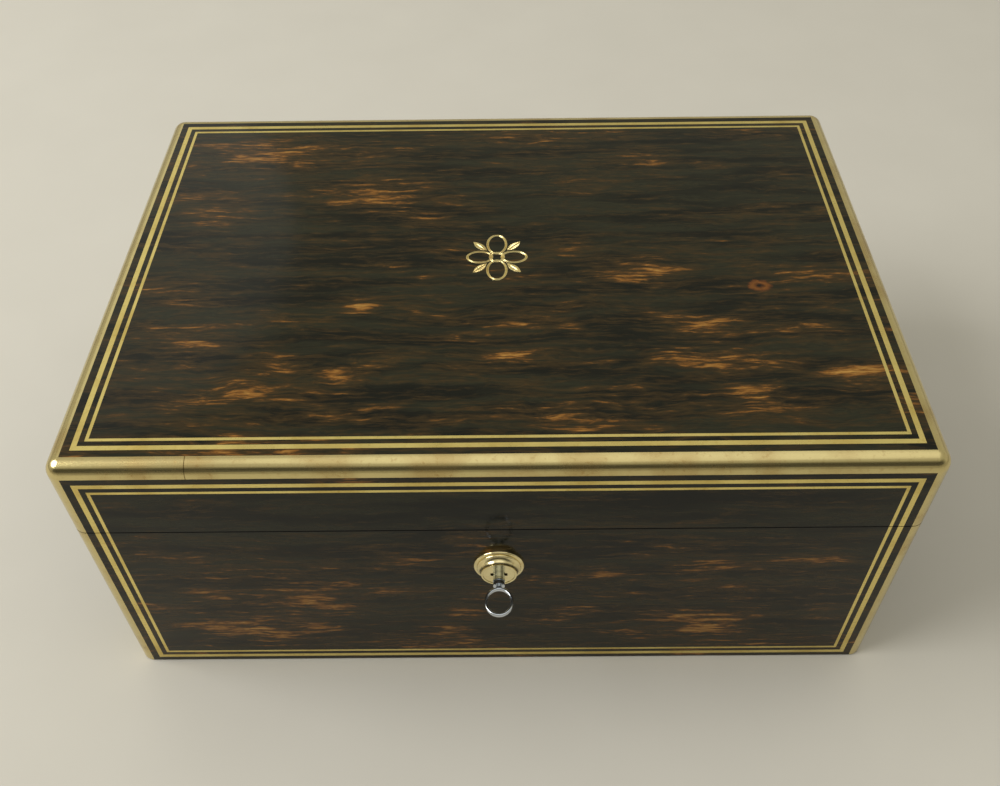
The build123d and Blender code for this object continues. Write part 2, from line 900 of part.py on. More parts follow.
with BuildPart() as lid_front_board:
    add(long_board(lid_bottom, lid_ceiling))
    add(
        slab(
            *mirrored(link_plate_width / 2),
            lock_skin - half_depth,
            wall - half_depth,
            lid_bottom,
            lid_bottom + link_plate_thickness,
        ),
        mode=Mode.SUBTRACT,
    )
    with Locations(*link_screws):
        add(screw_blank.part, mode=Mode.SUBTRACT)
save(lid_front_board.part, "lid_front_board")

with BuildPart() as lid_back_board:
    mirror(long_board(lid_bottom, lid_ceiling), about=Plane.XZ)
    add(hinge_seats(1), mode=Mode.SUBTRACT)
    with Locations(*hinge_screw_places(1)):
        add(screw_blank.part, mode=Mode.SUBTRACT)
save(lid_back_board.part, "lid_back_board")

with BuildPart() as lid_left_board:
    mirror(short_board(lid_bottom, lid_ceiling), about=Plane.YZ)
save(lid_left_board.part, "lid_left_board")

with BuildPart() as lid_right_board:
    add(short_board(lid_bottom, lid_ceiling))
save(lid_right_board.part, "lid_right_board")

with BuildPart() as lid_top_board:
    # Covers the walls below the brass edges and fills the space between the edges above
    with BuildSketch(Plane.XY.offset(lid_ceiling)):
        Rectangle(2 * edge_half_length, 2 * board_half_depth)
        Rectangle(2 * board_half_length, 2 * edge_half_depth)
    extrude(amount=edge_bottom - lid_ceiling)
    with BuildSketch(Plane.XY.offset(edge_bottom)):
        Rectangle(2 * edge_half_length, 2 * edge_half_depth)
    extrude(amount=top_veneer_bottom - edge_bottom)
save(lid_top_board.part, "lid_top_board")

for side in ("left", "right", "front"):
    save(wall_veneer(side, lid_bottom, edge_bottom), f"lid_{side}_veneer")

with BuildPart() as lid_back_veneer:
    add(wall_veneer("back", lid_bottom, edge_bottom))
    add(hinge_seats(1), mode=Mode.SUBTRACT)
save(lid_back_veneer.part, "lid_back_veneer")


def oval_loop(radii):
    with BuildSketch() as loop:
        Ellipse(*radii)
        Ellipse(radii[0] - ornament_stroke, radii[1] - ornament_stroke, mode=Mode.SUBTRACT)
    return loop.sketch


# Pierced knot of four loops round an eye, with a leaf between each two loops
with BuildSketch(top_face) as ornament_outline:
    with Locations((0, ornament_y)):
        with Locations((0, -long_loop_offset), (0, long_loop_offset)):
            add(oval_loop(long_loop_radii))
        with Locations((-cross_loop_offset, 0), (cross_loop_offset, 0)):
            add(oval_loop(cross_loop_radii))
        add(oval_loop((ornament_eye_radius, ornament_eye_radius)))
        with PolarLocations(0, 4, start_angle=45):
            with BuildSketch(mode=Mode.PRIVATE) as leaf:
                with BuildLine():
                    SagittaArc((leaf_inner, 0), (leaf_outer, 0), leaf_bulge)
                    SagittaArc((leaf_outer, 0), (leaf_inner, 0), leaf_bulge)
                make_face()
            add(leaf.sketch)

top_strings = {"wide": (border, wide_string), "narrow": (narrow_inset, narrow_string)}

with BuildPart() as lid_top_veneer:
    with BuildSketch(top_face):
        Rectangle(2 * edge_half_length, 2 * edge_half_depth)
    extrude(amount=-veneer)
    for inset, width in top_strings.values():
        half = edge_half_depth - inset
        with BuildSketch(top_face):
            add(string_groove(edge_half_length, -half, half, inset, width))
        extrude(amount=-string_depth, mode=Mode.SUBTRACT)
    extrude(ornament_outline.sketch, amount=-string_depth, mode=Mode.SUBTRACT)
save(lid_top_veneer.part, "lid_top_veneer")

for kind, (inset, width) in top_strings.items():
    half = edge_half_depth - inset
    with BuildPart() as top_strips:
        with BuildSketch(top_face):
            add(string_strips(edge_half_length, -half, half, inset, width, -half, half))
        extrude(amount=-string_depth)
    save(top_strips.part, f"lid_top_{kind}_stringing")

save(wall_stringing("wide", lid_bottom, edge_bottom), "lid_wall_wide_stringing")
save(wall_stringing("narrow", lid_bottom, edge_bottom), "lid_wall_narrow_stringing")
save(corner_posts(lid_bottom, edge_bottom), "lid_corner_brasses")

with BuildPart() as lid_ornament:
    extrude(ornament_outline.sketch, amount=-string_depth)
save(lid_ornament.part, "lid_ornament")

with BuildPart() as lid_front_brass_edge:
    add(long_edge())
    with Locations((edge_joint_inset - half_length, -edge_half_depth, edge_bottom)):
        Box(glue_line, 3 * edge_radius, 3 * edge_radius, mode=Mode.SUBTRACT)
save(lid_front_brass_edge.part, "lid_front_brass_edge")

with BuildPart() as lid_back_brass_edge:
    mirror(long_edge(), about=Plane.XZ)
save(lid_back_brass_edge.part, "lid_back_brass_edge")

with BuildPart() as lid_right_brass_edge:
    end = Plane(
        origin=(edge_half_length, -edge_half_depth, edge_bottom),
        x_dir=(1, 0, 0),
        z_dir=(0, -1, 0),
    )
    extrude(quarter_round(end), amount=-2 * edge_half_depth)
save(lid_right_brass_edge.part, "lid_right_brass_edge")

with BuildPart() as lid_left_brass_edge:
    mirror(lid_right_brass_edge.part, about=Plane.YZ)
save(lid_left_brass_edge.part, "lid_left_brass_edge")

with BuildPart() as lid_lining_pad:
    with BuildSketch(Plane.XY.offset(lid_ceiling)):
        Rectangle(2 * (inner_half_length - pad_room), 2 * (inner_half_depth - pad_room))
    extrude(amount=-lid_pad_thickness)
    fillet(lid_lining_pad.faces().sort_by(Axis.Z)[0].edges(), radius=pad_rounding)
save(lid_lining_pad.part, "lid_lining_pad")

# Tray

tray_half_length = inner_half_length - tray_room
tray_half_depth = inner_half_depth - tray_room
tray_inner_half_length = tray_half_length - tray_wall
tray_inner_half_depth = tray_half_depth - tray_wall
tray_floor_top = tray_seat + tray_floor
divider_top = tray_top - divider_drop
half_divider = divider_thickness / 2
front_divider_y = front_well + half_divider - tray_inner_half_depth
back_divider_y = tray_inner_half_depth - back_well - half_divider
ring_divider_x = ring_well / 2 + half_divider

with BuildPart() as tray_bottom:
    with BuildSketch(Plane.XY.offset(tray_seat)):
        Rectangle(2 * tray_half_length, 2 * tray_half_depth)
    extrude(amount=tray_floor)
save(tray_bottom.part, "tray_bottom")

with BuildPart() as tray_walls:
    with BuildSketch(Plane.XY.offset(tray_floor_top)):
        with Locations(*[(0, y) for y in mirrored(tray_half_depth - tray_wall / 2)]):
            Rectangle(2 * tray_half_length, tray_wall)
        with Locations(*[(x, 0) for x in mirrored(tray_half_length - tray_wall / 2)]):
            Rectangle(tray_wall, 2 * (tray_inner_half_depth - glue_line))
    extrude(amount=tray_top - tray_floor_top)
save(tray_walls.part, "tray_walls")

front_row = (-tray_inner_half_depth, front_divider_y - half_divider)
middle_row = (front_divider_y + half_divider, back_divider_y - half_divider)
back_row = (back_divider_y + half_divider, tray_inner_half_depth)

with BuildPart() as tray_dividers:
    with BuildSketch(Plane.XY.offset(tray_floor_top)):
        with Locations((0, front_divider_y), (0, back_divider_y)):
            Rectangle(2 * tray_inner_half_length, divider_thickness)
        ring_dividers = [(x, front_row) for x in mirrored(ring_divider_x)]
        for x_middle, row in (*ring_dividers, (0, middle_row)):
            add(
                panel(
                    x_middle - half_divider,
                    x_middle + half_divider,
                    row[0] + glue_line,
                    row[1] - glue_line,
                )
            )
    extrude(amount=divider_top - tray_floor_top)
save(tray_dividers.part, "tray_dividers")

# Rolls that hold rings upright between them
ring_space = ring_divider_x - half_divider - pad_room
roll_pitch = roll_width + roll_gap
roll_count = floor((front_row[1] - front_row[0] - 2 * pad_room + roll_gap) / roll_pitch)
roll_start = (front_row[0] + front_row[1] - (roll_count - 1) * roll_pitch) / 2

with BuildPart() as ring_rolls:
    with BuildSketch(Plane.YZ.offset(-ring_space)):
        for index in range(roll_count):
            with Locations((roll_start + index * roll_pitch, tray_floor_top)):
                Rectangle(
                    roll_width, roll_height - roll_width / 2, align=(Align.CENTER, Align.MIN)
                )
            with Locations(
                (roll_start + index * roll_pitch, tray_floor_top + roll_height - roll_width / 2)
            ):
                Circle(roll_width / 2)
    extrude(amount=2 * ring_space)
save(ring_rolls.part, "ring_rolls")

pad_spaces = (
    (-tray_inner_half_length, -ring_divider_x - half_divider, front_row),
    (ring_divider_x + half_divider, tray_inner_half_length, front_row),
    (-tray_inner_half_length, -half_divider, middle_row),
    (half_divider, tray_inner_half_length, middle_row),
    (-tray_inner_half_length, tray_inner_half_length, back_row),
)

with BuildPart() as tray_floor_pads:
    with BuildSketch(Plane.XY.offset(tray_floor_top)):
        for x_low, x_high, row in pad_spaces:
            add(
                panel(x_low + pad_room, x_high - pad_room, row[0] + pad_room, row[1] - pad_room)
            )
    extrude(amount=tray_pad_thickness)
    fillet(tray_floor_pads.faces().group_by(Axis.Z)[-1].edges(), radius=pad_rounding)
save(tray_floor_pads.part, "tray_floor_pads")

# Tabs glued to the end walls, to lift the tray by
with BuildPart() as tray_lift_tabs:
    with BuildSketch(Plane.YZ.offset(tray_inner_half_length)):
        tab_y = (middle_row[0] + middle_row[1]) / 2
        tab_end = tray_top + tab_rise - tab_width / 2
        add(panel(tab_y - tab_width / 2, tab_y + tab_width / 2, tray_top - tab_hold, tab_end))
        with Locations((tab_y, tab_end)):
            Circle(tab_width / 2)
    extrude(amount=-tab_thickness)
    mirror(about=Plane.YZ)
save(tray_lift_tabs.part, "tray_lift_tabs")
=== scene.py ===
import math

import bmesh
import bpy
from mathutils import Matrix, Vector, noise


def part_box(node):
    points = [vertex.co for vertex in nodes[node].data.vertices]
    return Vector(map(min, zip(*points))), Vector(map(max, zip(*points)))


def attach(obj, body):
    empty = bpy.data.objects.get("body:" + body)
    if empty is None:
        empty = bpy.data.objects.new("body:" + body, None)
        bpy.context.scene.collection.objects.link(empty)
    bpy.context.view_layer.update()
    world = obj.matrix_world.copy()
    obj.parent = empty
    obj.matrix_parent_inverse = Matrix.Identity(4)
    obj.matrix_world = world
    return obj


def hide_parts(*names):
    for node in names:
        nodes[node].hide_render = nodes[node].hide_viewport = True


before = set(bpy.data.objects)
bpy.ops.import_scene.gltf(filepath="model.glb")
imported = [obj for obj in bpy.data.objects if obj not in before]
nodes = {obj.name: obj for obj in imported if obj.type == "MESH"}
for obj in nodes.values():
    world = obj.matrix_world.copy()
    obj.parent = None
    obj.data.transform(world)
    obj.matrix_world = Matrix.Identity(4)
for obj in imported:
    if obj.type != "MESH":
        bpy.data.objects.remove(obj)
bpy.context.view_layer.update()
mm = 0.001
mostNoise = (0.3, 0.7)  # nearly all of a noise texture lies between these
touching = 0.01  # points this near in mm are at the same place
print("frame loaded,", len(nodes), "parts")


def linear(hexColour):
    # the colours below are sRGB, and Blender works in linear ones
    channels = [int(hexColour[i:i + 2], 16) / 255 for i in (1, 3, 5)]
    return (*[c / 12.92 if c <= 0.04045 else ((c + 0.055) / 1.055) ** 2.4 for c in channels], 1.0)


def addNode(tree, kind, inputs=(), out=0, stops=(), **settings):
    # inputs are in the node's own order or named in a dictionary, and one output is given back;
    # the colours of a Mix node go in at 6 and 7 and come out at 2
    node = tree.nodes.new("ShaderNode" + kind)
    for name, value in settings.items():
        setattr(node, name, value)
    for socket, value in inputs.items() if isinstance(inputs, dict) else enumerate(inputs):
        if isinstance(value, bpy.types.NodeSocket):
            tree.links.new(value, node.inputs[socket])
        else:
            node.inputs[socket].default_value = linear(value) if isinstance(value, str) else value
    for index, (position, colour) in enumerate(stops):  # of a colour ramp, which starts with two
        ramp = node.color_ramp.elements
        between = 0 < index < len(stops) - 1
        element = ramp.new(position) if between else ramp[0 if index == 0 else len(ramp) - 1]
        element.position = position
        element.color = linear(colour)
    return node.outputs[out] if len(node.outputs) else node


def startMaterial(name, **values):
    # a principled shader with plain values set on its own sockets, and the part's place in mm
    material = bpy.data.materials.new(name)
    material.use_nodes = True
    tree = material.node_tree
    shader = tree.nodes["Principled BSDF"]
    for socket, value in values.items():
        shader.inputs[socket.replace("_", " ")].default_value = value
    metres = addNode(tree, "TexCoord", out="Object")
    place = addNode(tree, "VectorMath", {0: metres, "Scale": 1 / mm}, operation="SCALE")
    return material, tree, shader, place


# Coromandel veneer: an ebony sliced thin, laid and French polished. The eye sees near black wood with
# ragged orange streaks along the grain, under a clear and slightly wavy gloss.

veneer = {
    "black": "#0F1008",
    "olive": "#252517",
    "brown": "#3B2D15",
    "lines": (0.66, 1.28),  # how much the fine grain lines darken and lighten the wood
    "streakColours": [(0.0, "#543718"), (0.5, "#805522"), (1.0, "#A67C3C")],
    "knotColours": [(0.0, "#2B1C12"), (0.25, "#5C3516"), (0.5, "#74481C"), (0.68, "#553214"),
                    (0.82, "#1B130A")],  # from its edge to its heart
    "polishRoughness": 0.11,
    "polishIor": 1.3,  # shellac is 1.5; taken down until the black is as deep as in the photograph
    "polishWave": 0.035,  # height of the waves in mm, and their length
    "waveLength": 24,
    "sunk": 0.06,  # share of that height by which the polish sinks into the grain
    "seam": (101.0, 0.35, 0.65),  # height of the saw cut, and how far either side of it the veneer is painted near black as the shade in the gap, in mm
    # painted shade: the near black that stands in for the shadow in the gap between lid and base
    "seamShade": "#020201",
    # each layer: size along, across and through the grain in mm, shift, detail, roughness
    "bend": ((60, 24, 24), (0.3, 0.9, 0.2), 3, 0.68),
    "bendReach": 10,  # how far the grain wanders, in mm
    "layers": {
        "tone": ((80, 8, 8), (3, 0, 1), 4, 0.5),
        "patch": ((48, 14, 14), (7, 2, 5), 2, 0.5),
        "streak": ((21, 2.0, 2.0), (1, 8, 3), 5, 0.58),
        "fleck": ((6.0, 1.1, 1.1), (4, 1, 6), 3, 0.6),  # breaks each streak into short dashes
        "fibre": ((18, 0.3, 0.3), (5, 5, 5), 2, 0.5),  # real pores are 0.1 mm wide, drawn wider to show
    },
    "oliveRange": (0.36, 0.62),  # of the tone layer, from black to olive
    # heat is the sum of the streak layer and of what these add, and turns the wood brown, then orange
    "patchHeat": (0.45, 0.72, -0.03, 0.14),
    "fleckHeat": 0.45,
    "placedHeat": 0.27,
    "brownRange": (0.62, 0.98),
    "streakRange": (0.88, 1.06),
    "streakColourRange": (0.9, 1.2),
    "spread": (1.35, 1.6, 40.0),  # a placed streak fades outwards, so it is made longer and wider, and deep
    # placed streaks: x, then y or z, half length, half width, lean in degrees, strength, in mm
    "topStreaks": [
        (-92, 80, 46, 12, 0, 1.0), (-60, 51, 36, 9, 6, 1.1), (22, 94, 36, 8, 1, 0.8),
        (70, 76, 22, 6, -3, 0.7), (103, 68, 10, 3.5, -6, 1.2), (-130, 30, 20, 8, 0, 0.95),
        (-38, 33, 20, 4, -14, 0.7), (-20, 6, 12, 3, 4, 0.8), (31, 6, 12, 4, -8, 0.9),
        (63, -6, 24, 8, -4, 1.15), (133, -10, 12, 5, 0, 0.8), (-128, -25, 19, 4, -3, 0.8),
        (-55, -31, 8, 3, 0, 1.3), (-22, -35, 18, 4, -5, 0.8), (83, -42, 24, 5, -12, 1.2),
        (12, -41, 16, 4, 0, 0.75), (30, -42, 6, 2.5, 0, 1.1), (126, -47, 14, 4, 8, 0.95),
        (-118, -53, 14, 4, -6, 0.85), (-88, -62, 15, 7, -10, 1.05), (-64, -70, 7, 3, 0, 1.2),
        (-46, -61, 10, 4, 0, 0.9), (2, -60, 22, 5, 6, 1.1), (40, -61, 9, 3, 0, 0.8),
        (86, -63, 30, 6, -4, 1.25), (137, -69, 14, 4.5, 4, 1.0), (96, -78, 14, 3.5, 0, 1.0),
        (-22, -93, 18, 4, 8, 0.8), (-105, -85, 44, 14, 0, 0.6), (-110, 96, 18, 3, 0, 0.7),
        (-70, -105, 90, 6, 0, 0.5), (60, -85, 60, 10, 0, 0.45), (110, 60, 30, 30, 0, -0.35),
        (60, 35, 90, 16, 0, -0.3)],
    "frontStreaks": [
        (-39, 80, 17, 4, 3, 1.0), (-122, 57, 13, 3.5, 0, 0.85), (-84, 51, 24, 7, -3, 0.9),
        (-39, 58, 13, 4, 0, 0.85), (-13, 39, 13, 4.5, 8, 1.15), (-24, 25, 12, 5, 0, 0.85),
        (-121, 29, 16, 8, 0, 0.9), (-97, 22, 13, 8, 10, 0.9), (-80, 31, 12, 6, -6, 0.8),
        (-142, 45, 13, 4, 0, 0.8), (41, 70, 11, 4, 0, 0.95), (87, 75, 26, 5.5, -5, 0.95),
        (134, 78, 16, 4, 0, 0.85), (85, 36, 26, 5, 0, 0.85), (92, 26, 17, 5, 2, 1.05),
        (60, 22, 14, 6, 0, 0.7), (-88, 115, 10, 3, 5, 0.9), (-106, 119, 12, 3, 0, 0.5),
        (95, 113, 10, 3, 0, 0.5), (-60, 132.5, 36, 3, 0, 0.9), (-20, 12, 30, 6, 0, 0.6),
        (115, 15, 26, 7, 0, 0.6), (-100, 35, 80, 40, 0, 0.4), (90, 35, 90, 36, 0, 0.35),
        (0, 114, 240, 15, 0, -0.5)],
    # rag is how many ragged bits its edge has to the mm, and their reach is a share of its size
    "knot": {"place": (110.5, -18.0, 140.0), "size": (6.2, 5.6, 40), "rag": 0.4, "ragReach": 0.5,
             "fade": (0.05, 0.35)},
}


def makeVeneer(name, turn=0, streaks=(), face=(0, 1), level=0.0, knotted=False):
    # the grain runs along x, turned by turn degrees; the placed streaks lie on the two axes of the face,
    # at its level on the third
    material, tree, shader, place = startMaterial(
        name, Roughness=veneer["polishRoughness"], IOR=veneer["polishIor"])
    along = addNode(tree, "Mapping", {"Vector": place, "Rotation": (0, 0, math.radians(turn))})
    size, shift, detail, rough = veneer["bend"]
    reach = veneer["bendReach"]
    broad = addNode(tree, "Mapping", {"Vector": along, "Location": shift, "Scale": [1 / s for s in size]})
    wander = addNode(tree, "TexNoise", {"Vector": broad, "Scale": 1.0, "Detail": detail, "Roughness": rough},
                     "Color")
    bent = addNode(tree, "VectorMath", (wander, (0, reach, reach), along), operation="MULTIPLY_ADD")
    figure = {}
    for layer, (size, shift, detail, rough) in veneer["layers"].items():
        scaled = addNode(tree, "Mapping", {"Vector": bent, "Location": shift, "Scale": [1 / s for s in size]})
        figure[layer] = addNode(tree, "TexNoise", {"Vector": scaled, "Scale": 1.0, "Detail": detail,
                                                   "Roughness": rough})
    heat = addNode(tree, "MapRange", (figure["patch"], *veneer["patchHeat"]),
                   interpolation_type="SMOOTHSTEP")
    spread = veneer["spread"]
    for u, v, halfLength, halfWidth, lean, strength in streaks:  # where the photograph shows them
        across = 3 - sum(face)
        centre, size, spin = [level] * 3, [spread[2]] * 3, [0.0] * 3
        centre[face[0]] = u
        centre[face[1]] = v + reach / 2  # the bend adds this much on average
        size[face[0]] = halfLength * spread[0]
        size[face[1]] = halfWidth * spread[1]
        spin[across] = math.radians(lean if across == 2 else -lean)
        local = addNode(tree, "Mapping", (bent, centre, spin, size), vector_type="TEXTURE")
        blob = addNode(tree, "TexGradient", (local,), "Fac", gradient_type="SPHERICAL")
        heat = addNode(tree, "Math", (blob, veneer["placedHeat"] * strength, heat), operation="MULTIPLY_ADD")
    flecked = addNode(tree, "Math", (figure["fleck"], veneer["fleckHeat"], heat), operation="MULTIPLY_ADD")
    heat = addNode(tree, "Math", (figure["streak"], flecked), operation="ADD")
    pale = addNode(tree, "MapRange", (figure["tone"], *veneer["oliveRange"]),
                   interpolation_type="SMOOTHSTEP")
    ground = addNode(tree, "Mix", {0: pale, 6: veneer["black"], 7: veneer["olive"]}, 2, data_type="RGBA")
    warm = addNode(tree, "MapRange", (heat, *veneer["brownRange"]), interpolation_type="SMOOTHSTEP")
    ground = addNode(tree, "Mix", {0: warm, 6: ground, 7: veneer["brown"]}, 2, data_type="RGBA")
    hotness = addNode(tree, "MapRange", (heat, *veneer["streakColourRange"]))
    hot = addNode(tree, "ValToRGB", (hotness,), stops=veneer["streakColours"])
    shown = addNode(tree, "MapRange", (heat, *veneer["streakRange"]), interpolation_type="SMOOTHSTEP")
    colour = addNode(tree, "Mix", {0: shown, 6: ground, 7: hot}, 2, data_type="RGBA")
    if knotted:
        knot = veneer["knot"]
        middle = (knot["place"][0], knot["place"][1] + reach / 2, knot["place"][2])
        local = addNode(tree, "Mapping", {"Vector": bent, "Location": middle, "Scale": knot["size"]},
                        vector_type="TEXTURE")
        rag = addNode(tree, "TexNoise", {"Vector": place, "Scale": knot["rag"], "Detail": 3.0}, "Color")
        ragReach = (knot["ragReach"], knot["ragReach"], 0)
        ragged = addNode(tree, "VectorMath", (rag, ragReach, local), operation="MULTIPLY_ADD")
        centred = addNode(tree, "VectorMath", (ragged, [r / 2 for r in ragReach]), operation="SUBTRACT")
        ring = addNode(tree, "TexGradient", (centred,), "Fac", gradient_type="SPHERICAL")
        ringColour = addNode(tree, "ValToRGB", (ring,), stops=veneer["knotColours"])
        inside = addNode(tree, "MapRange", (ring, *knot["fade"]), interpolation_type="SMOOTHSTEP")
        colour = addNode(tree, "Mix", {0: inside, 6: colour, 7: ringColour}, 2, data_type="RGBA")
    # painted shade: the veneer is darkened to near black either side of the seam between lid and base, fading
    # out further off
    seam, near, far = veneer["seam"]
    height = addNode(tree, "SeparateXYZ", (place,), "Z")
    above = addNode(tree, "Math", (height, seam), operation="SUBTRACT")
    fromSeam = addNode(tree, "Math", (above,), operation="ABSOLUTE")
    seamShaded = addNode(tree, "MapRange", (fromSeam, far, near))
    colour = addNode(tree, "Mix", {0: seamShaded, 6: colour, 7: veneer["seamShade"]}, 2, data_type="RGBA")
    lines = addNode(tree, "MapRange", (figure["fibre"], *mostNoise, *veneer["lines"]))
    grey = addNode(tree, "CombineColor", (lines, lines, lines))
    lined = addNode(tree, "Mix", {0: 1.0, 6: colour, 7: grey}, 2, data_type="RGBA", blend_type="MULTIPLY")
    tree.links.new(lined, shader.inputs["Base Color"])
    waveScale = [1 / veneer["waveLength"]] * 3
    wide = addNode(tree, "Mapping", {"Vector": place, "Location": (2, 2, 2), "Scale": waveScale})
    wave = addNode(tree, "TexNoise", {"Vector": wide, "Scale": 1.0, "Detail": 2.0})
    surface = addNode(tree, "Math", (figure["fibre"], veneer["sunk"], wave), operation="MULTIPLY_ADD")
    bump = addNode(tree, "Bump", {"Height": surface, "Distance": veneer["polishWave"] * mm})
    tree.links.new(bump, shader.inputs["Normal"])
    return material


topVeneer = makeVeneer("coromandelFrenchPolishedTop", 0, veneer["topStreaks"], (0, 1), 140.0, knotted=True)
frontVeneer = makeVeneer("coromandelFrenchPolishedFront", 0, veneer["frontStreaks"], (0, 2), -115.0)
backVeneer = makeVeneer("coromandelFrenchPolishedBack")
endVeneer = makeVeneer("coromandelFrenchPolishedEnds", 90)
print("veneer ready")


# Mahogany: the carcase, planed and waxed. Brown red with dark pores along the grain and a low sheen.

mahogany = {
    "pale": "#8A4A26", "deep": "#5A2A14", "pore": "#2E150B",
    "bands": (120, 5, 5),  # size along, across and through the grain, in mm
    "pores": (5, 0.28, 0.28),  # real ones are 0.15 mm wide, drawn wider to show
    "poreRange": (0.62, 0.72), "poreSlope": (0.72, 0.6),  # of the noise, from wood to pore
    "poreDepth": 0.03,
    "waxRoughness": 0.42,
}


def makeMahogany(name, turn):
    material, tree, shader, place = startMaterial(name, Roughness=mahogany["waxRoughness"], IOR=1.5)
    along = addNode(tree, "Mapping", {"Vector": place, "Rotation": (0, 0, math.radians(turn))})
    bandScale, poreScale = [[1 / s for s in mahogany[layer]] for layer in ("bands", "pores")]
    wide = addNode(tree, "Mapping", {"Vector": along, "Location": (0, 3, 0), "Scale": bandScale})
    bands = addNode(tree, "TexNoise", {"Vector": wide, "Scale": 1.0, "Detail": 3.0})
    fine = addNode(tree, "Mapping", {"Vector": along, "Location": (4, 0, 2), "Scale": poreScale})
    pores = addNode(tree, "TexNoise", {"Vector": fine, "Scale": 1.0, "Detail": 1.0})
    light = addNode(tree, "MapRange", (bands, *mostNoise), interpolation_type="SMOOTHSTEP")
    colour = addNode(tree, "Mix", {0: light, 6: mahogany["deep"], 7: mahogany["pale"]}, 2, data_type="RGBA")
    pit = addNode(tree, "MapRange", (pores, *mahogany["poreRange"]), interpolation_type="SMOOTHSTEP")
    pitted = addNode(tree, "Mix", {0: pit, 6: colour, 7: mahogany["pore"]}, 2, data_type="RGBA")
    tree.links.new(pitted, shader.inputs["Base Color"])
    height = addNode(tree, "MapRange", (pores, *mahogany["poreSlope"]), interpolation_type="SMOOTHSTEP")
    bump = addNode(tree, "Bump", {"Height": height, "Distance": mahogany["poreDepth"] * mm})
    tree.links.new(bump, shader.inputs["Normal"])
    return material


mahoganyAlongX = makeMahogany("mahoganyPlanedWaxed", 0)
mahoganyAlongY = makeMahogany("mahoganyPlanedWaxedEnds", 90)


# Metals. lines gives the size of a polish mark along x, y and z in mm, and without them the metal is turned
# on a lathe. Real marks are 0.02 mm wide, drawn wider to show. joined is the x where two lengths butt.

drawn = dict(colour="#D3C38A", tarnish="#AE915A", roughness=0.2, depth=0.006)
metals = {
    # drawn brass, polished along its length: long soft lines of light on a pale gold
    "brassDrawnAlongX": dict(drawn, lines=(70, 0.3, 0.3)),
    "brassDrawnPieced": dict(drawn, lines=(70, 0.3, 0.3), joined=-113.0),
    "brassDrawnAlongY": dict(drawn, lines=(0.3, 70, 0.3)),
    "brassDrawnAlongZ": dict(drawn, lines=(0.3, 0.3, 70)),
    # brass strip let in and scraped flush with the veneer: a yellower, even satin
    "brassScrapedFlush": dict(colour="#E6D283", tarnish="#C2A655", roughness=0.3, lines=(6, 6, 0.5),
                              depth=0.003),
    # sheet brass, pierced, let in and engraved, its cuts left bright
    "brassEngraved": dict(colour="#EBDA9D", tarnish="#BF9F60", roughness=0.26, lines=(5, 0.4, 2),
                          depth=0.004),
    # brass turned on a lathe and burnished: rings about the keyhole
    "brassTurnedBurnished": dict(colour="#F0E3B0", tarnish="#CDB377", roughness=0.17, lines=None,
                                 depth=0.004),
    # cast brass, filed and draw-filed flat: a duller satin with lengthwise file marks
    "brassDrawFiled": dict(colour="#D9B978", tarnish="#9C7A42", roughness=0.32, lines=(14, 0.35, 0.35),
                           depth=0.012),
    # brass screws, their heads turned and dulled
    "brassScrewTurned": dict(colour="#DCC07E", tarnish="#94723C", roughness=0.28, lines=(3, 0.4, 3),
                             depth=0.008),
    # steel key, ground, polished and nickelled: a cool bright mirror
    "steelPolishedNickelled": dict(colour="#CDD3DA", tarnish="#A6AAAC", roughness=0.13, lines=(4, 4, 4),
                                   depth=0.003),
    # spring steel, rolled and blued by tempering: a dark grey with a blue cast
    "steelSpringTempered": dict(colour="#6F737B", tarnish="#4A4A4E", roughness=0.3, lines=(0.4, 9, 0.4),
                                depth=0.005),
}
wear = {
    # size in mm, shift, detail and roughness of each layer
    "layers": {"dull": ((17, 17, 17), (5, 1, 4), 4, 0.5), "spots": ((1.6, 1.6, 1.6), (2, 6, 1), 3, 0.5)},
    "dulled": (0.42, 0.72, 0, 0.55),  # from where to where in the layer, and how far it tarnishes
    "spotted": (0.55, 0.75, 0, 0.35),
    "marks": (0.75, 1.3),  # how much smoother and rougher the polish marks are
    "rougher": 0.12,  # where it is tarnished
}
turning = {
    "axis": (0, 0, 77),  # the middle of the keyhole, with the lathe's axis along y
    "along": 0.15,  # how far the rings shift along the axis
    "rings": 2.8,  # to the mm
}
joint = {"halfWidth": (0.24, 0.08), "colour": "#7A6234"}  # a real one is 0.1 mm, drawn wide enough to show


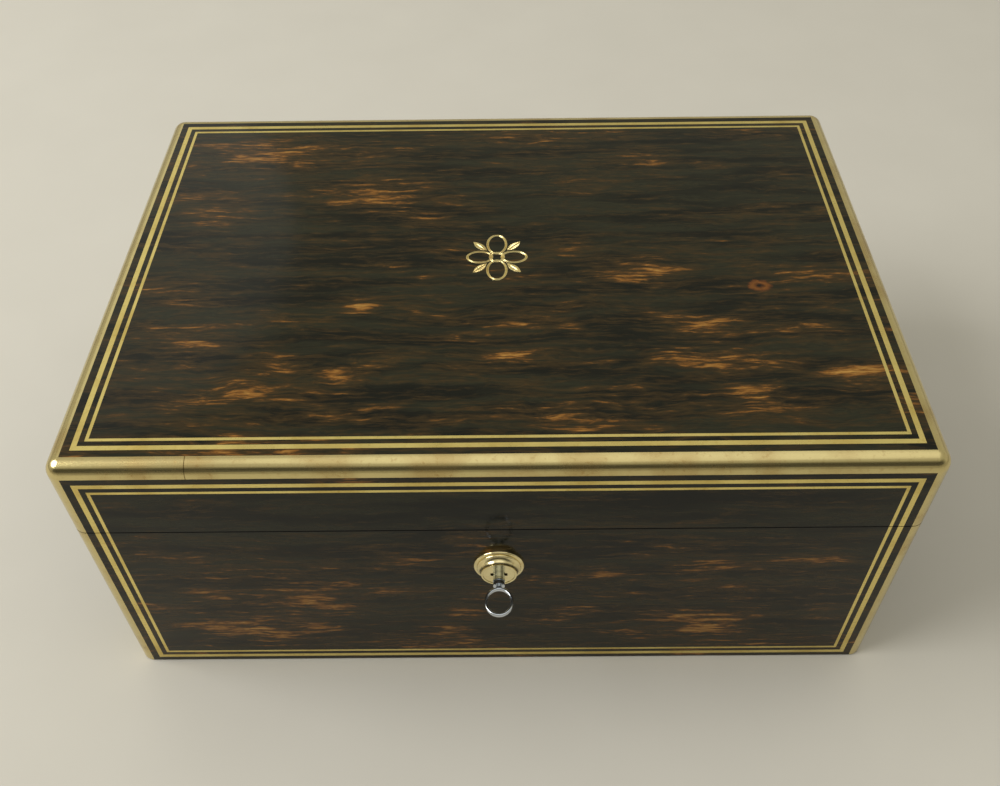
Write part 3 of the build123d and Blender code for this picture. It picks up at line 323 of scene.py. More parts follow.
def makeMetal(name, colour, tarnish, roughness, depth, lines, joined=None):
    material, tree, shader, place = startMaterial(name, Metallic=1.0)
    layers = dict(wear["layers"])
    if lines:
        layers["marks"] = (lines, (1, 2, 3), 3, 0.6)
    grain = {}
    for layer, (size, shift, detail, rough) in layers.items():
        scale = [1 / s for s in size]
        scaled = addNode(tree, "Mapping", {"Vector": place, "Location": shift, "Scale": scale})
        grain[layer] = addNode(tree, "TexNoise", {"Vector": scaled, "Scale": 1.0, "Detail": detail,
                                                  "Roughness": rough})
    if not lines:  # rings, by the distance from the axis of turning
        offAxis = addNode(tree, "VectorMath", (place, turning["axis"]), operation="SUBTRACT")
        flat = addNode(tree, "VectorMath", (offAxis, (1, turning["along"], 1)), operation="MULTIPLY")
        radius = addNode(tree, "VectorMath", (flat,), "Value", operation="LENGTH")
        grain["marks"] = addNode(tree, "TexNoise", {"W": radius, "Scale": turning["rings"], "Detail": 3.0},
                                 noise_dimensions="1D")
    dulled = addNode(tree, "MapRange", (grain["dull"], *wear["dulled"]), interpolation_type="SMOOTHSTEP")
    spotted = addNode(tree, "MapRange", (grain["spots"], *wear["spotted"]), interpolation_type="SMOOTHSTEP")
    worn = addNode(tree, "Math", (dulled, spotted), operation="ADD")
    finish = addNode(tree, "Mix", {0: worn, 6: colour, 7: tarnish}, 2, data_type="RGBA")
    if joined is not None:  # where two lengths butt
        beside = addNode(tree, "Math", (addNode(tree, "SeparateXYZ", (place,)), joined), operation="SUBTRACT")
        fromJoint = addNode(tree, "Math", (beside,), operation="ABSOLUTE")
        line = addNode(tree, "MapRange", (fromJoint, *joint["halfWidth"]))
        finish = addNode(tree, "Mix", {0: line, 6: finish, 7: joint["colour"]}, 2, data_type="RGBA")
    tree.links.new(finish, shader.inputs["Base Color"])
    smooth, coarse = [roughness * share for share in wear["marks"]]
    marked = addNode(tree, "MapRange", (grain["marks"], *mostNoise, smooth, coarse))
    rougher = addNode(tree, "Math", (worn, wear["rougher"], marked), operation="MULTIPLY_ADD")
    tree.links.new(rougher, shader.inputs["Roughness"])
    bump = addNode(tree, "Bump", {"Height": grain["marks"], "Distance": depth * mm})
    tree.links.new(bump, shader.inputs["Normal"])
    return material


metal = {name: makeMetal(name, **values) for name, values in metals.items()}
print("metals ready")


# Silk velvet, woven with a cut pile: deep blue where one looks into the pile, pale where it is brushed over.

velvet = {
    "deep": "#14205A", "lit": "#22337E", "trayDeep": "#111B4E", "trayLit": "#1D2C70", "sheen": "#8D9EE8",
    "tuft": 0.55,  # a real tuft is 0.15 mm across, drawn wider to show
    "nap": 38.0,  # size of the places where the pile lies one way, in mm
    "pileDepth": 0.12,
    "tuftLight": (-0.25, 0.25),  # what the tufts take from the nap's light and add to it
    "napRange": (0.38, 0.64),  # of the nap's noise, from deep to lit
}


def makeVelvet(name, deep, lit):
    material, tree, shader, place = startMaterial(
        name, Roughness=0.85, IOR=1.45, Sheen_Weight=0.7, Sheen_Roughness=0.35,
        Sheen_Tint=linear(velvet["sheen"]), Specular_IOR_Level=0.15)
    napScale, tuftScale = [[1 / velvet[layer]] * 3 for layer in ("nap", "tuft")]
    wide = addNode(tree, "Mapping", {"Vector": place, "Location": (3, 1, 2), "Scale": napScale})
    nap = addNode(tree, "TexNoise", {"Vector": wide, "Scale": 1.0, "Detail": 4.0, "Roughness": 0.55})
    fine = addNode(tree, "Mapping", {"Vector": place, "Location": (1, 1, 1), "Scale": tuftScale})
    tuft = addNode(tree, "TexNoise", {"Vector": fine, "Scale": 1.0, "Detail": 2.0, "Roughness": 0.7})
    tufted = addNode(tree, "MapRange", (tuft, *mostNoise, *velvet["tuftLight"]))
    laid = addNode(tree, "MapRange", (nap, *velvet["napRange"]), interpolation_type="SMOOTHSTEP")
    brushed = addNode(tree, "Math", (tufted, laid), operation="ADD", use_clamp=True)
    colour = addNode(tree, "Mix", {0: brushed, 6: deep, 7: lit}, 2, data_type="RGBA")
    tree.links.new(colour, shader.inputs["Base Color"])
    bump = addNode(tree, "Bump", {"Height": tuft, "Distance": velvet["pileDepth"] * mm})
    tree.links.new(bump, shader.inputs["Normal"])
    return material


padVelvet = makeVelvet("silkVelvetPadBlue", velvet["deep"], velvet["lit"])
trayVelvet = makeVelvet("silkVelvetTrayBlue", velvet["trayDeep"], velvet["trayLit"])


# Wool baize, milled and raised: an even green felt with stray fibres.

felt = {
    "deep": "#14301E", "raised": "#2F5D3C", "sheen": "#9FC7A4",
    # size of each set of fibres in mm, and its shift; real ones are 0.03 mm thick, drawn thicker to show
    "fibres": [((0.7, 3.5, 3), (0, 0, 0)), ((4, 0.6, 3), (5, 1, 0))],
    "fibreRange": (0.15, 0.36), "fibreDepth": 0.2,
}

woolBaize, tree, shader, place = startMaterial(
    "woolBaizeMilled", Roughness=0.95, IOR=1.45, Sheen_Weight=0.35, Sheen_Roughness=0.5,
    Sheen_Tint=linear(felt["sheen"]))
sets = []
for size, shift in felt["fibres"]:
    lie = addNode(tree, "Mapping", {"Vector": place, "Location": shift, "Scale": [1 / s for s in size]})
    sets.append(addNode(tree, "TexNoise", {"Vector": lie, "Scale": 1.0, "Detail": 3.0, "Roughness": 0.7}))
crossed = addNode(tree, "Math", sets, operation="MULTIPLY")
raised = addNode(tree, "MapRange", (crossed, *felt["fibreRange"]), interpolation_type="SMOOTHSTEP")
colour = addNode(tree, "Mix", {0: raised, 6: felt["deep"], 7: felt["raised"]}, 2, data_type="RGBA")
tree.links.new(colour, shader.inputs["Base Color"])
bump = addNode(tree, "Bump", {"Height": crossed, "Distance": felt["fibreDepth"] * mm})
tree.links.new(bump, shader.inputs["Normal"])


# Sheep skiver, dyed and glazed: a fine pebble with a soft shine.

skiver = {
    "deep": "#101B3F", "worn": "#2A3A78",
    "pebble": 1.5, "pebbleDepth": 0.05,  # pebbles to the mm, and their depth
    "crease": (0.0, 0.25),  # from the edge of a pebble to its face
    "cloud": 6,  # size of the worn places, in mm
}

leather, tree, shader, place = startMaterial("skiverLeatherGlazed", Roughness=0.38, IOR=1.5)
pebble = addNode(tree, "TexVoronoi", {"Vector": place, "Scale": skiver["pebble"]}, "Distance",
                 feature="DISTANCE_TO_EDGE")
wide = addNode(tree, "Mapping", {"Vector": place, "Location": (2, 4, 1), "Scale": [1 / skiver["cloud"]] * 3})
cloud = addNode(tree, "TexNoise", {"Vector": wide, "Scale": 1.0, "Detail": 4.0})
colour = addNode(tree, "Mix", {0: cloud, 6: skiver["deep"], 7: skiver["worn"]}, 2, data_type="RGBA")
tree.links.new(colour, shader.inputs["Base Color"])
crease = addNode(tree, "MapRange", (pebble, *skiver["crease"]), interpolation_type="SMOOTHSTEP")
bump = addNode(tree, "Bump", {"Height": crease, "Distance": skiver["pebbleDepth"] * mm})
tree.links.new(bump, shader.inputs["Normal"])


# Silk, spun and twisted to a cord: gold thread with a bright line on each turn.

silk = {
    "deep": "#8F6B2B", "lit": "#D2AE62", "sheen": "#F3DFA8",
    "thread": 0.35, "threadDepth": 0.06,  # a real thread is 0.1 mm thick, drawn thicker to show
}

cordSilk, tree, shader, place = startMaterial(
    "silkCordTwisted", Roughness=0.45, IOR=1.5, Sheen_Weight=0.4, Sheen_Roughness=0.3,
    Sheen_Tint=linear(silk["sheen"]))
fine = addNode(tree, "Mapping", {"Vector": place, "Location": (0, 2, 0), "Scale": [1 / silk["thread"]] * 3})
thread = addNode(tree, "TexNoise", {"Vector": fine, "Scale": 1.0, "Detail": 2.0})
colour = addNode(tree, "Mix", {0: thread, 6: silk["deep"], 7: silk["lit"]}, 2, data_type="RGBA")
tree.links.new(colour, shader.inputs["Base Color"])
bump = addNode(tree, "Bump", {"Height": thread, "Distance": silk["threadDepth"] * mm})
tree.links.new(bump, shader.inputs["Normal"])
print("soft finishes ready")

finishes = [
    (topVeneer, ["lid_top_veneer"]),
    (frontVeneer, ["base_front_veneer", "lid_front_veneer"]),
    (backVeneer, ["base_back_veneer", "lid_back_veneer"]),
    (endVeneer, ["base_left_veneer", "base_right_veneer", "lid_left_veneer", "lid_right_veneer"]),
    (mahoganyAlongX, ["base_front_board", "base_back_board", "base_bottom_board", "lid_front_board",
                      "lid_back_board", "lid_top_board"]),
    (mahoganyAlongY, ["base_left_board", "base_right_board", "lid_left_board", "lid_right_board"]),
    (metal["brassDrawnPieced"], ["lid_front_brass_edge"]),
    (metal["brassDrawnAlongX"], ["lid_back_brass_edge"]),
    (metal["brassDrawnAlongY"], ["lid_left_brass_edge", "lid_right_brass_edge"]),
    (metal["brassDrawnAlongZ"], ["base_corner_brasses", "lid_corner_brasses"]),
    (metal["brassScrapedFlush"], ["base_wide_stringing", "base_narrow_stringing", "lid_top_wide_stringing",
                                  "lid_top_narrow_stringing", "lid_wall_wide_stringing",
                                  "lid_wall_narrow_stringing", "lid_ornament"]),
    (metal["brassTurnedBurnished"], ["lock_nozzle", "lock_barrel"]),
    (metal["brassDrawFiled"], ["lock_case", "lock_back_plate", "lock_bolt", "lock_link_plate",
                               "hinge_left_base_leaf", "hinge_right_base_leaf", "hinge_left_lid_leaf",
                               "hinge_right_lid_leaf"]),
    (metal["brassScrewTurned"], ["hinge_base_screws", "hinge_lid_screws", "lock_screws",
                                 "link_plate_screws"]),
    (metal["steelSpringTempered"], ["hinge_pins", "lock_spring"]),
    (metal["steelPolishedNickelled"], ["key"]),
    (trayVelvet, ["tray_ledges", "tray_walls", "tray_bottom", "tray_dividers"]),
]
for material, names in finishes:
    for name in names:
        for materialSlot in nodes[name].material_slots:
            materialSlot.material = material
print("finishes laid on the parts")


def newPiece(name, mesh, material, body, slotName, *replaced):
    piece = bpy.data.objects.new(name, mesh)
    bpy.context.scene.collection.objects.link(piece)
    mesh.materials.append(material)
    for face in mesh.polygons:
        face.use_smooth = True
    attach(piece, body)
    if replaced:
        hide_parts(*replaced)
    return piece


def boxOf(name):
    low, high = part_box(name)
    return low / mm, high / mm


def meshFrom(name, vertices, faces, weld=1e-4):
    mesh = bpy.data.meshes.new(name)
    mesh.from_pydata([Vector(v) * mm for v in vertices], [], faces)
    skin = bmesh.new()
    skin.from_mesh(mesh)
    bmesh.ops.remove_doubles(skin, verts=skin.verts, dist=weld * mm)  # closes a loop onto its own start
    bmesh.ops.recalc_face_normals(skin, faces=skin.faces)
    skin.to_mesh(mesh)
    skin.free()
    return mesh


def ringFaces(start, ringCount, pointCount):
    # the skin over a row of rings of points, numbered from start
    return [(start + r * pointCount + k, start + r * pointCount + (k + 1) % pointCount,
             start + (r + 1) * pointCount + (k + 1) % pointCount, start + (r + 1) * pointCount + k)
            for r in range(ringCount - 1) for k in range(pointCount)]


def ringMesh(name, rings, capped=True):
    # a closed skin over rings of points, with flat ends if it is capped
    count = len(rings[0])
    vertices = [p for ring in rings for p in ring]
    faces = ringFaces(0, len(rings), count)
    if capped:
        faces += [tuple(range(count))[::-1], tuple(range((len(rings) - 1) * count, len(rings) * count))]
    return meshFrom(name, vertices, faces)


def gridFaces(columns, rows):
    return [(j * columns + i, j * columns + i + 1, (j + 1) * columns + i + 1, (j + 1) * columns + i)
            for j in range(rows - 1) for i in range(columns - 1)]


def backedFaces(faces, columns, rows):
    # the faces of a grid of points, of a second one that backs it point for point, and of the edge between
    back = columns * rows
    border = (list(range(columns)) + [j * columns + columns - 1 for j in range(1, rows)]
              + [(rows - 1) * columns + i for i in range(columns - 2, -1, -1)]
              + [j * columns for j in range(rows - 2, 0, -1)])
    edge = [(a, back + a, back + b, b) for a, b in zip(border, border[1:] + border[:1])]
    return faces + [tuple(back + i for i in face[::-1]) for face in faces] + edge


def evenAngles(count, first=0.0):
    return [first + 2 * math.pi * k / count for k in range(count)]


# Pads of velvet over wadding. The lid's is buttoned, and its velvet is settled as a cloth.

pads = {
    "edge": 3.0,  # width of the rounded margin, in mm
    "edgeSteps": 4,
    "edgeRise": 0.25,  # share of the thickness at which the velvet leaves the board
    "pull": 0.7,  # how far the sides pull in between the corners
    "pullShape": 8,  # the higher, the nearer to the side this stays
    "crownShape": 4,  # the higher, the flatter the middle
    "uneven": (0.25, 21, 17),  # how uneven the wadding is, over how much, in mm
    "fill": 0.6,
    "lidInset": 1.7,  # room for the trim round the lid's pad
    "lid": dict(cell=3.0, crown=6.6, buttoned=True),
    "floor": dict(cell=6.0, crown=3.5),
    "tray": dict(cell=3.5, crown=1.6),
}
buttoning = {
    "pitch": (51.0, 34.0), "margin": (16, 14), "rows": 3,
    "dent": 7.5, "dentRadius": 6.5,
    "fold": 3.2, "foldWidth": 3.2, "foldShape": 1.3,  # 2 is rounded at its bottom, and 1 is sharp
    "hold": 0.75,  # of a cell: the points this near to a button are held
}
laidVelvet = {
    "spare": 0.05,  # the velvet is cut this much too large
    "pressure": 1.6, "steps": 22, "stiffness": 12, "bending": 0.6, "mass": 0.25, "quality": 6,
    "size": 10,  # times life size, where Blender's cloth behaves
    "furthest": 3.0,  # how far a point may move from where the pad was drawn
    "least": 0.6,  # the velvet stays this far off the board
}


def settle(points, faces, held):
    # the velvet is laid over its wadding a little too large, and pushed out against its buttons and edge
    scene = bpy.context.scene
    size = laidVelvet["size"] * mm
    mesh = bpy.data.meshes.new("laidVelvet")
    mesh.from_pydata([p * size for p in points], [], faces)
    cloth = bpy.data.objects.new("laidVelvet", mesh)
    scene.collection.objects.link(cloth)
    cloth.vertex_groups.new(name="held").add(held, 1.0, "REPLACE")
    modifier = cloth.modifiers.new("cloth", "CLOTH")
    values = modifier.settings
    values.quality = laidVelvet["quality"]
    values.mass = laidVelvet["mass"]
    values.vertex_group_mass = "held"
    values.tension_stiffness = laidVelvet["stiffness"]
    values.compression_stiffness = laidVelvet["stiffness"]
    values.bending_stiffness = laidVelvet["bending"]
    values.shrink_min = -laidVelvet["spare"]
    values.use_pressure = True
    values.uniform_pressure_force = laidVelvet["pressure"]
    values.effector_weights.gravity = 0
    modifier.collision_settings.use_collision = False
    modifier.point_cache.frame_end = laidVelvet["steps"]
    for step in range(1, laidVelvet["steps"] + 1):
        scene.frame_set(step)
    settled = cloth.evaluated_get(bpy.context.evaluated_depsgraph_get()).to_mesh()
    moved = [v.co / size for v in settled.vertices]
    bpy.data.objects.remove(cloth)
    scene.frame_set(1)
    return moved


def stations(half, cell):
    # places across a pad from -half to half, closer together near the two edges
    edge, steps = pads["edge"], pads["edgeSteps"]
    count = max(2, round(2 * (half - edge) / cell))
    middle = [-(half - edge) + 2 * (half - edge) * i / count for i in range(count + 1)]
    rim = [half - edge * (1 - math.sin(a * math.pi / 2 / steps)) for a in range(steps, 0, -1)]
    return [-r for r in rim] + middle + rim[::-1]


def buttonSpots(halfX, halfY):
    # rows of buttons, every second one shifted by half the pitch
    reach = range(-buttoning["rows"], buttoning["rows"] + 1)
    pitchX, pitchY = buttoning["pitch"]
    spots = [((column + 0.5 * (row % 2)) * pitchX, row * pitchY) for row in reach for column in reach]
    marginX, marginY = buttoning["margin"]
    return [(u, v) for u, v in spots if abs(u) < halfX - marginX and abs(v) < halfY - marginY]


def drawnIn(rise, u, v, spots, margin):
    # the height of the velvet where the buttons, and the folds from button to button, draw it in
    for spot in spots:
        gap = math.hypot(u - spot[0], v - spot[1])
        rise -= buttoning["dent"] * math.exp(-(gap / buttoning["dentRadius"]) ** 2)
    pitchX, pitchY = buttoning["pitch"]
    slope = pitchY / (pitchX / 2)
    for sign in (1, -1):
        folds = (v - sign * slope * u) / (2 * pitchY)
        off = abs(folds - round(folds)) * 2 * pitchY / math.hypot(1, slope)
        folded = math.exp(-abs(off / buttoning["foldWidth"]) ** buttoning["foldShape"])
        rise -= buttoning["fold"] * folded * margin
    return rise


def makePad(name, low, high, faceDown, cell, crown, body, replaced, buttoned=False):
    edge, pull, pullShape, crownShape = [pads[key] for key in ("edge", "pull", "pullShape", "crownShape")]
    xs = stations((high[0] - low[0]) / 2, cell)
    ys = stations((high[1] - low[1]) / 2, cell)
    middle = ((low[0] + high[0]) / 2, (low[1] + high[1]) / 2)
    halfX, halfY, thick = xs[-1], ys[-1], high[2] - low[2]
    seat, away = (high[2], -1) if faceDown else (low[2], 1)
    spots = buttonSpots(halfX, halfY) if buttoned else []
    uneven, unevenX, unevenY = pads["uneven"]
    points, held = [], []
    for v in ys:
        for u in xs:
            x = u - math.copysign(pull * (1 - (v / halfY) ** 2) * abs(u / halfX) ** pullShape, u)
            y = v - math.copysign(pull * (1 - (u / halfX) ** 2) * abs(v / halfY) ** pullShape, v)
            fromEdge = min(halfX - abs(u), halfY - abs(v))
            inset = min(fromEdge, edge)
            rounding = math.sqrt(1 - (1 - inset / edge) ** 2)
            rise = thick * (pads["edgeRise"] + (1 - pads["edgeRise"]) * rounding)
            rise += crown * (1 - (u / halfX) ** crownShape) * (1 - (v / halfY) ** crownShape)
            rise += uneven * noise.noise(Vector((x / unevenX, y / unevenY, 3.0)))
            if spots:
                rise = drawnIn(rise, u, v, spots, min(1, inset / edge))
            underButton = any(math.hypot(u - p[0], v - p[1]) < cell * buttoning["hold"] for p in spots)
            if underButton or fromEdge < touching:
                held.append(len(points))
            points.append(Vector((middle[0] + x, middle[1] + y, seat + away * rise)))
    faces = gridFaces(len(xs), len(ys))  # and the other way round where the pad faces down
    if buttoned:
        furthest, least = laidVelvet["furthest"], laidVelvet["least"]
        moved = settle(points, [face[::away] for face in faces], held)
        points = [p + (m - p) * min(1, furthest / max((m - p).length, 1e-6)) for p, m in zip(points, moved)]
        points = [Vector((p.x, p.y, seat + away * max(least, away * (p.z - seat)))) for p in points]
    points += [Vector((p.x, p.y, seat)) for p in points]  # the flat side, on its board, in the same cells
    mesh = meshFrom(name, points, [face[::away] for face in backedFaces(faces, len(xs), len(ys))])
    piece = newPiece(name, mesh, padVelvet, body, "velvet", replaced)
    modifier = piece.modifiers.new("rounding", "SUBSURF")
    modifier.levels = modifier.render_levels = 1
    return piece, spots


low, high = boxOf("lid_lining_pad")
inset = Vector((pads["lidInset"], pads["lidInset"], 0))
lidPad, spots = makePad("lid_pad", low + inset, high - inset, True, body="lid", replaced="lid_lining_pad",
                        **pads["lid"])
floorLow, floorHigh = boxOf("base_floor_pad")
makePad("floor_pad", floorLow, floorHigh, False, body="base", replaced="base_floor_pad", **pads["floor"])
print("large pads made")


# Buttons covered in the pad's velvet: a low dome whose edge is tucked under.

button = {
    "radius": 3.6, "dome": 2.2, "rings": 7, "points": 20,
    "reach": 0.98,  # the last ring is this far up the dome, small enough to cap
    "tuck": 0.86, "tuckDepth": 0.5,
    "sunk": 0.7,
    "offBoard": 0.5,  # what lies this far off the board is velvet
}

velvetSide = [v.co / mm for v in lidPad.data.vertices if v.co.z / mm < high.z - button["offBoard"]]
for number, (x, y) in enumerate(spots, 1):
    nearest = min(velvetSide, key=lambda p: math.hypot(p.x - x, p.y - y))
    rings = []
    for step in range(button["rings"]):
        angle = step * math.pi / 2 / (button["rings"] - 1)
        radius = button["radius"] * math.cos(angle * button["reach"])
        drop = button["dome"] * math.sin(angle)
        if step == 0:
            radius *= button["tuck"]
            drop -= button["tuckDepth"]
        rings.append([(x + radius * math.cos(a), y - radius * math.sin(a), nearest.z - button["sunk"] - drop)
                      for a in evenAngles(button["points"])])
    newPiece(f"lid_button_{number}", ringMesh("button", rings), padVelvet, "lid", "velvet")
print("buttons set,", len(spots))


# Ring rolls, each a tube of velvet over wadding, drawn tight at its ends and flat on the floor.

rolls = {
    "count": 6, "width": 10.0, "pitch": 10.5,
    "ends": (0.0, 0.35, 1.1, 2.4, 4.2, 6.5),  # places of the rings near an end, in mm
    "cells": 22, "points": 28,
    "taper": 4.5,  # an end is drawn in over this length
    "endSize": 0.72, "endWidth": 0.97, "endHeight": 0.2,
    "slack": 0.985,
    "uneven": (0.02, 15), "unlike": 3.1,  # so that no two rolls are uneven in the same places
    "sideShape": 0.35, "footShape": 0.55,
    "fill": 0.75,
}

low, high = boxOf("ring_rolls")
span, tall, half, lastEnd = high.x - low.x, high.z - low.z, rolls["width"] / 2, rolls["ends"][-1]
uneven, unevenSize = rolls["uneven"]
xs = [lastEnd + (span - 2 * lastEnd) * i / rolls["cells"] for i in range(1, rolls["cells"])]
xs = [*rolls["ends"], *xs, *[span - e for e in rolls["ends"][::-1]]]
for number in range(rolls["count"]):
    centreY = low.y + half + number * rolls["pitch"]
    rings = []
    for x in xs:
        near = min(x, span - x, rolls["taper"])
        full = math.sqrt(1 - (1 - near / rolls["taper"]) ** 2) * (1 - rolls["endSize"]) + rolls["endSize"]
        bulge = 1 + uneven * noise.noise(Vector((x / unevenSize, number * rolls["unlike"], 0)))
        ring = []
        for angle in evenAngles(rolls["points"], math.pi / rolls["points"]):
            c, s = math.cos(angle), math.sin(angle)
            if s >= 0:
                y, z = half * c, tall - half + half * s
            else:
                y = half * math.copysign(abs(c) ** rolls["sideShape"], c)
                z = (tall - half) * (1 - abs(s) ** rolls["footShape"])
            y *= (rolls["endWidth"] * full + 1 - rolls["endWidth"]) * bulge * rolls["slack"]
            z *= (rolls["endHeight"] * full + 1 - rolls["endHeight"]) * (1 + 0.5 * (bulge - 1))
            ring.append((low.x + x, centreY + y, low.z + min(z, tall)))
        rings.append(ring)
    piece = newPiece(f"ring_roll_{number + 1}", ringMesh("roll", rings), padVelvet, "tray", "velvet",
                     "ring_rolls")
print("ring rolls made")


# A twisted silk cord hides the nailed edge of the lid's pad.

trim = {"strand": 0.72, "offset": 0.62, "pitch": 5.4, "step": 0.7, "points": 8,
        "inset": 1.2, "corner": 2.5, "cornerStep": 15, "above": 0.3}

low, high = boxOf("lid_lining_pad")
straightX, straightY = [side - trim["inset"] - trim["corner"] for side in (high.x, high.y)]
path = []
for signX, signY, start in ((1, 1, 0), (-1, 1, 90), (-1, -1, 180), (1, -1, 270)):
    for degrees in range(0, 91, trim["cornerStep"]):
        angle = math.radians(start + degrees)
        path.append(Vector((signX * straightX + trim["corner"] * math.cos(angle),
                            signY * straightY + trim["corner"] * math.sin(angle), low.z + trim["above"])))
loop = []
for a, b in zip(path, path[1:] + path[:1]):
    steps = max(1, round((b - a).length / trim["step"]))
    loop += [a.lerp(b, s / steps) for s in range(steps)]
turns = round(len(loop) * trim["step"] / trim["pitch"])
upward = Vector((0, 0, 1))
for strand in (0, 1):
    rings = []
    for k, point in enumerate(loop):
        ahead = (loop[(k + 1) % len(loop)] - loop[k - 1]).normalized()
        side = ahead.cross(upward)
        twist = 2 * math.pi * turns * k / len(loop) + strand * math.pi
        centre = point + trim["offset"] * (side * math.cos(twist) + upward * math.sin(twist))
        rings.append([centre + trim["strand"] * (side * math.cos(a) + upward * math.sin(a))
                      for a in evenAngles(trim["points"])])
    rings.append(rings[0])
    strandMesh = ringMesh("strand", rings, capped=False)
    newPiece(f"lid_trim_strand_{strand + 1}", strandMesh, cordSilk, "lid", "velvet")
print("trim laid")


# The tray's walls and dividers: thin boards wrapped in velvet, so their tops are round.

boards = {
    "edge": 1.0,  # radius of the wrapped top, in mm
    "edgeShare": 0.42,  # and at most this share of the thickness
    "edgeSteps": 4,
    "crisp": 0.25,  # how near its foot and ends a board turns square
    "rows": (0.4, 1.6),  # of points on a side: a share of the height, and radii below the top
    "step": 6,
    "swell": 0.12, "swellSize": (14, 9),
    "held": 0.3,  # share of the swell at the foot and round the top
    "wall": 3.0,  # thickness of the tray's walls
    "divider": 2.5,
    "frontY": -30.25, "backY": 37.75, "ringX": 60.0,  # middles of the dividers
}


def wrapBoard(name, low, high, replaced):
    # a board standing on the tray's floor, from one corner to the other, wrapped over its top
    alongX = high[0] - low[0] > high[1] - low[1]
    span, thick = (high[0] - low[0], high[1] - low[1]) if alongX else (high[1] - low[1], high[0] - low[0])
    tall, edge = high[2] - low[2], min(boards["edge"], thick * boards["edgeShare"])
    half, crisp = thick / 2, boards["crisp"]
    halfway, shoulder = tall * boards["rows"][0], tall - edge * boards["rows"][1]
    section = [(-half, 0.0), (-half, crisp), (-half, halfway), (-half, shoulder)]
    for step in range(boards["edgeSteps"] + 1):
        angle = step * math.pi / 2 / boards["edgeSteps"]
        section.append((-half + edge - edge * math.cos(angle), tall - edge + edge * math.sin(angle)))
    section += [(-u, v) for u, v in section[::-1]]
    steps = max(2, round(span / boards["step"]))
    sizeT, sizeV = boards["swellSize"]
    rings = []
    for t in [0.0, crisp, *[span * k / steps for k in range(1, steps)], span - crisp, span]:
        ring = []
        for u, v in section:
            sway = boards["swell"] * noise.noise(Vector((t / sizeT, v / sizeV, low[0] + low[1])))
            u += sway * (1 if 0 < v < tall - edge else boards["held"])
            u = max(-half, min(half, u))
            if alongX:
                ring.append((low[0] + t, (low[1] + high[1]) / 2 + u, low[2] + v))
            else:
                ring.append(((low[0] + high[0]) / 2 - u, low[1] + t, low[2] + v))
        rings.append(ring[::-1])
    newPiece(name, ringMesh(name, rings), trayVelvet, "tray", "tray_velvet", replaced)


low, high = boxOf("tray_walls")
wall = boards["wall"]
for name, x1, x2, y1, y2 in (
        ("front", low.x, high.x, low.y, low.y + wall),
        ("back", low.x, high.x, high.y - wall, high.y),
        ("left", low.x, low.x + wall, low.y + wall, high.y - wall),
        ("right", high.x - wall, high.x, low.y + wall, high.y - wall)):
    wrapBoard(f"tray_wall_{name}", (x1, y1, low.z), (x2, y2, high.z), "tray_walls")
low, high = boxOf("tray_dividers")
half, frontY, backY, ringX = boards["divider"] / 2, boards["frontY"], boards["backY"], boards["ringX"]
for name, x1, x2, y1, y2 in (
        ("front", low.x, high.x, frontY - half, frontY + half),
        ("back", low.x, high.x, backY - half, backY + half),
        ("ring_left", -ringX - half, -ringX + half, low.y, frontY - half),
        ("ring_right", ringX - half, ringX + half, low.y, frontY - half),
        ("middle", -half, half, frontY + half, backY - half)):
    wrapBoard(f"tray_divider_{name}", (x1, y1, low.z), (x2, y2, high.z), "tray_dividers")
print("tray wrapped")


# Ornament in the lid: brass sawn to a knot of four loops round an eye with four leaves, let in and engraved.

ornament = {
    "middle": (0.0, 1.5), "stroke": 1.3, "deep": 1.0, "bevel": 0.12,
    "groove": 0.24, "grooveDepth": 0.28,  # half width and depth of the cut along each loop and leaf
    "weave": 0.12,  # how far a loop dips where another passes over it
    # middle and half sizes of each loop; the last is the eye
    "loops": [(0.0, 8.6, 4.7, 6.9), (0.0, -8.6, 4.7, 6.9), (7.5, 0.0, 6.0, 4.3), (-7.5, 0.0, 6.0, 4.3),
              (0.0, 0.0, 3.6, 3.6)],
    "loopPoints": 72,
    "leaf": (6.2, 14.6, 1.7),  # from, to, half width
    "leafPoints": 48, "leafTip": 0.02,
    "leafSection": (-1, -1, -0.86, -0.5, -0.16, 0, 0.16, 0.5, 0.86, 1, 1),
    "hatch": 0.62, "hatchDepth": 0.2,
}

top = boxOf("lid_ornament")[1].z
vertices, faces = [], []
middle = Vector((*ornament["middle"], 0))
half, deep, bevel = ornament["stroke"] / 2, ornament["deep"], ornament["bevel"]
section = [(half, -deep), (half, -bevel), (half - bevel, 0.0), (ornament["groove"], 0.0),
           (0.0, -ornament["grooveDepth"]), (-ornament["groove"], 0.0), (-half + bevel, 0.0),
           (-half, -bevel), (-half, -deep)]
for number, (cx, cy, rx, ry) in enumerate(ornament["loops"]):
    start, count, across = len(vertices), ornament["loopPoints"], len(section)
    for angle in evenAngles(count):
        outward = Vector((math.cos(angle) / rx, math.sin(angle) / ry, 0)).normalized()
        onLine = Vector((cx + rx * math.cos(angle), cy + ry * math.sin(angle), 0)) - outward * half + middle
        lift = -ornament["weave"] * (0.5 + 0.5 * math.cos(4 * angle + math.pi * (number % 2)))
        for u, v in section:
            vertices.append(onLine + outward * u + Vector((0, 0, top + (v + lift if v > -deep else v))))
    for k in range(count):
        for s in range(across):
            a, b = start + k * across, start + (k + 1) % count * across
            faces.append((a + s, a + (s + 1) % across, b + (s + 1) % across, b + s))
inner, outer, bulge = ornament["leaf"]
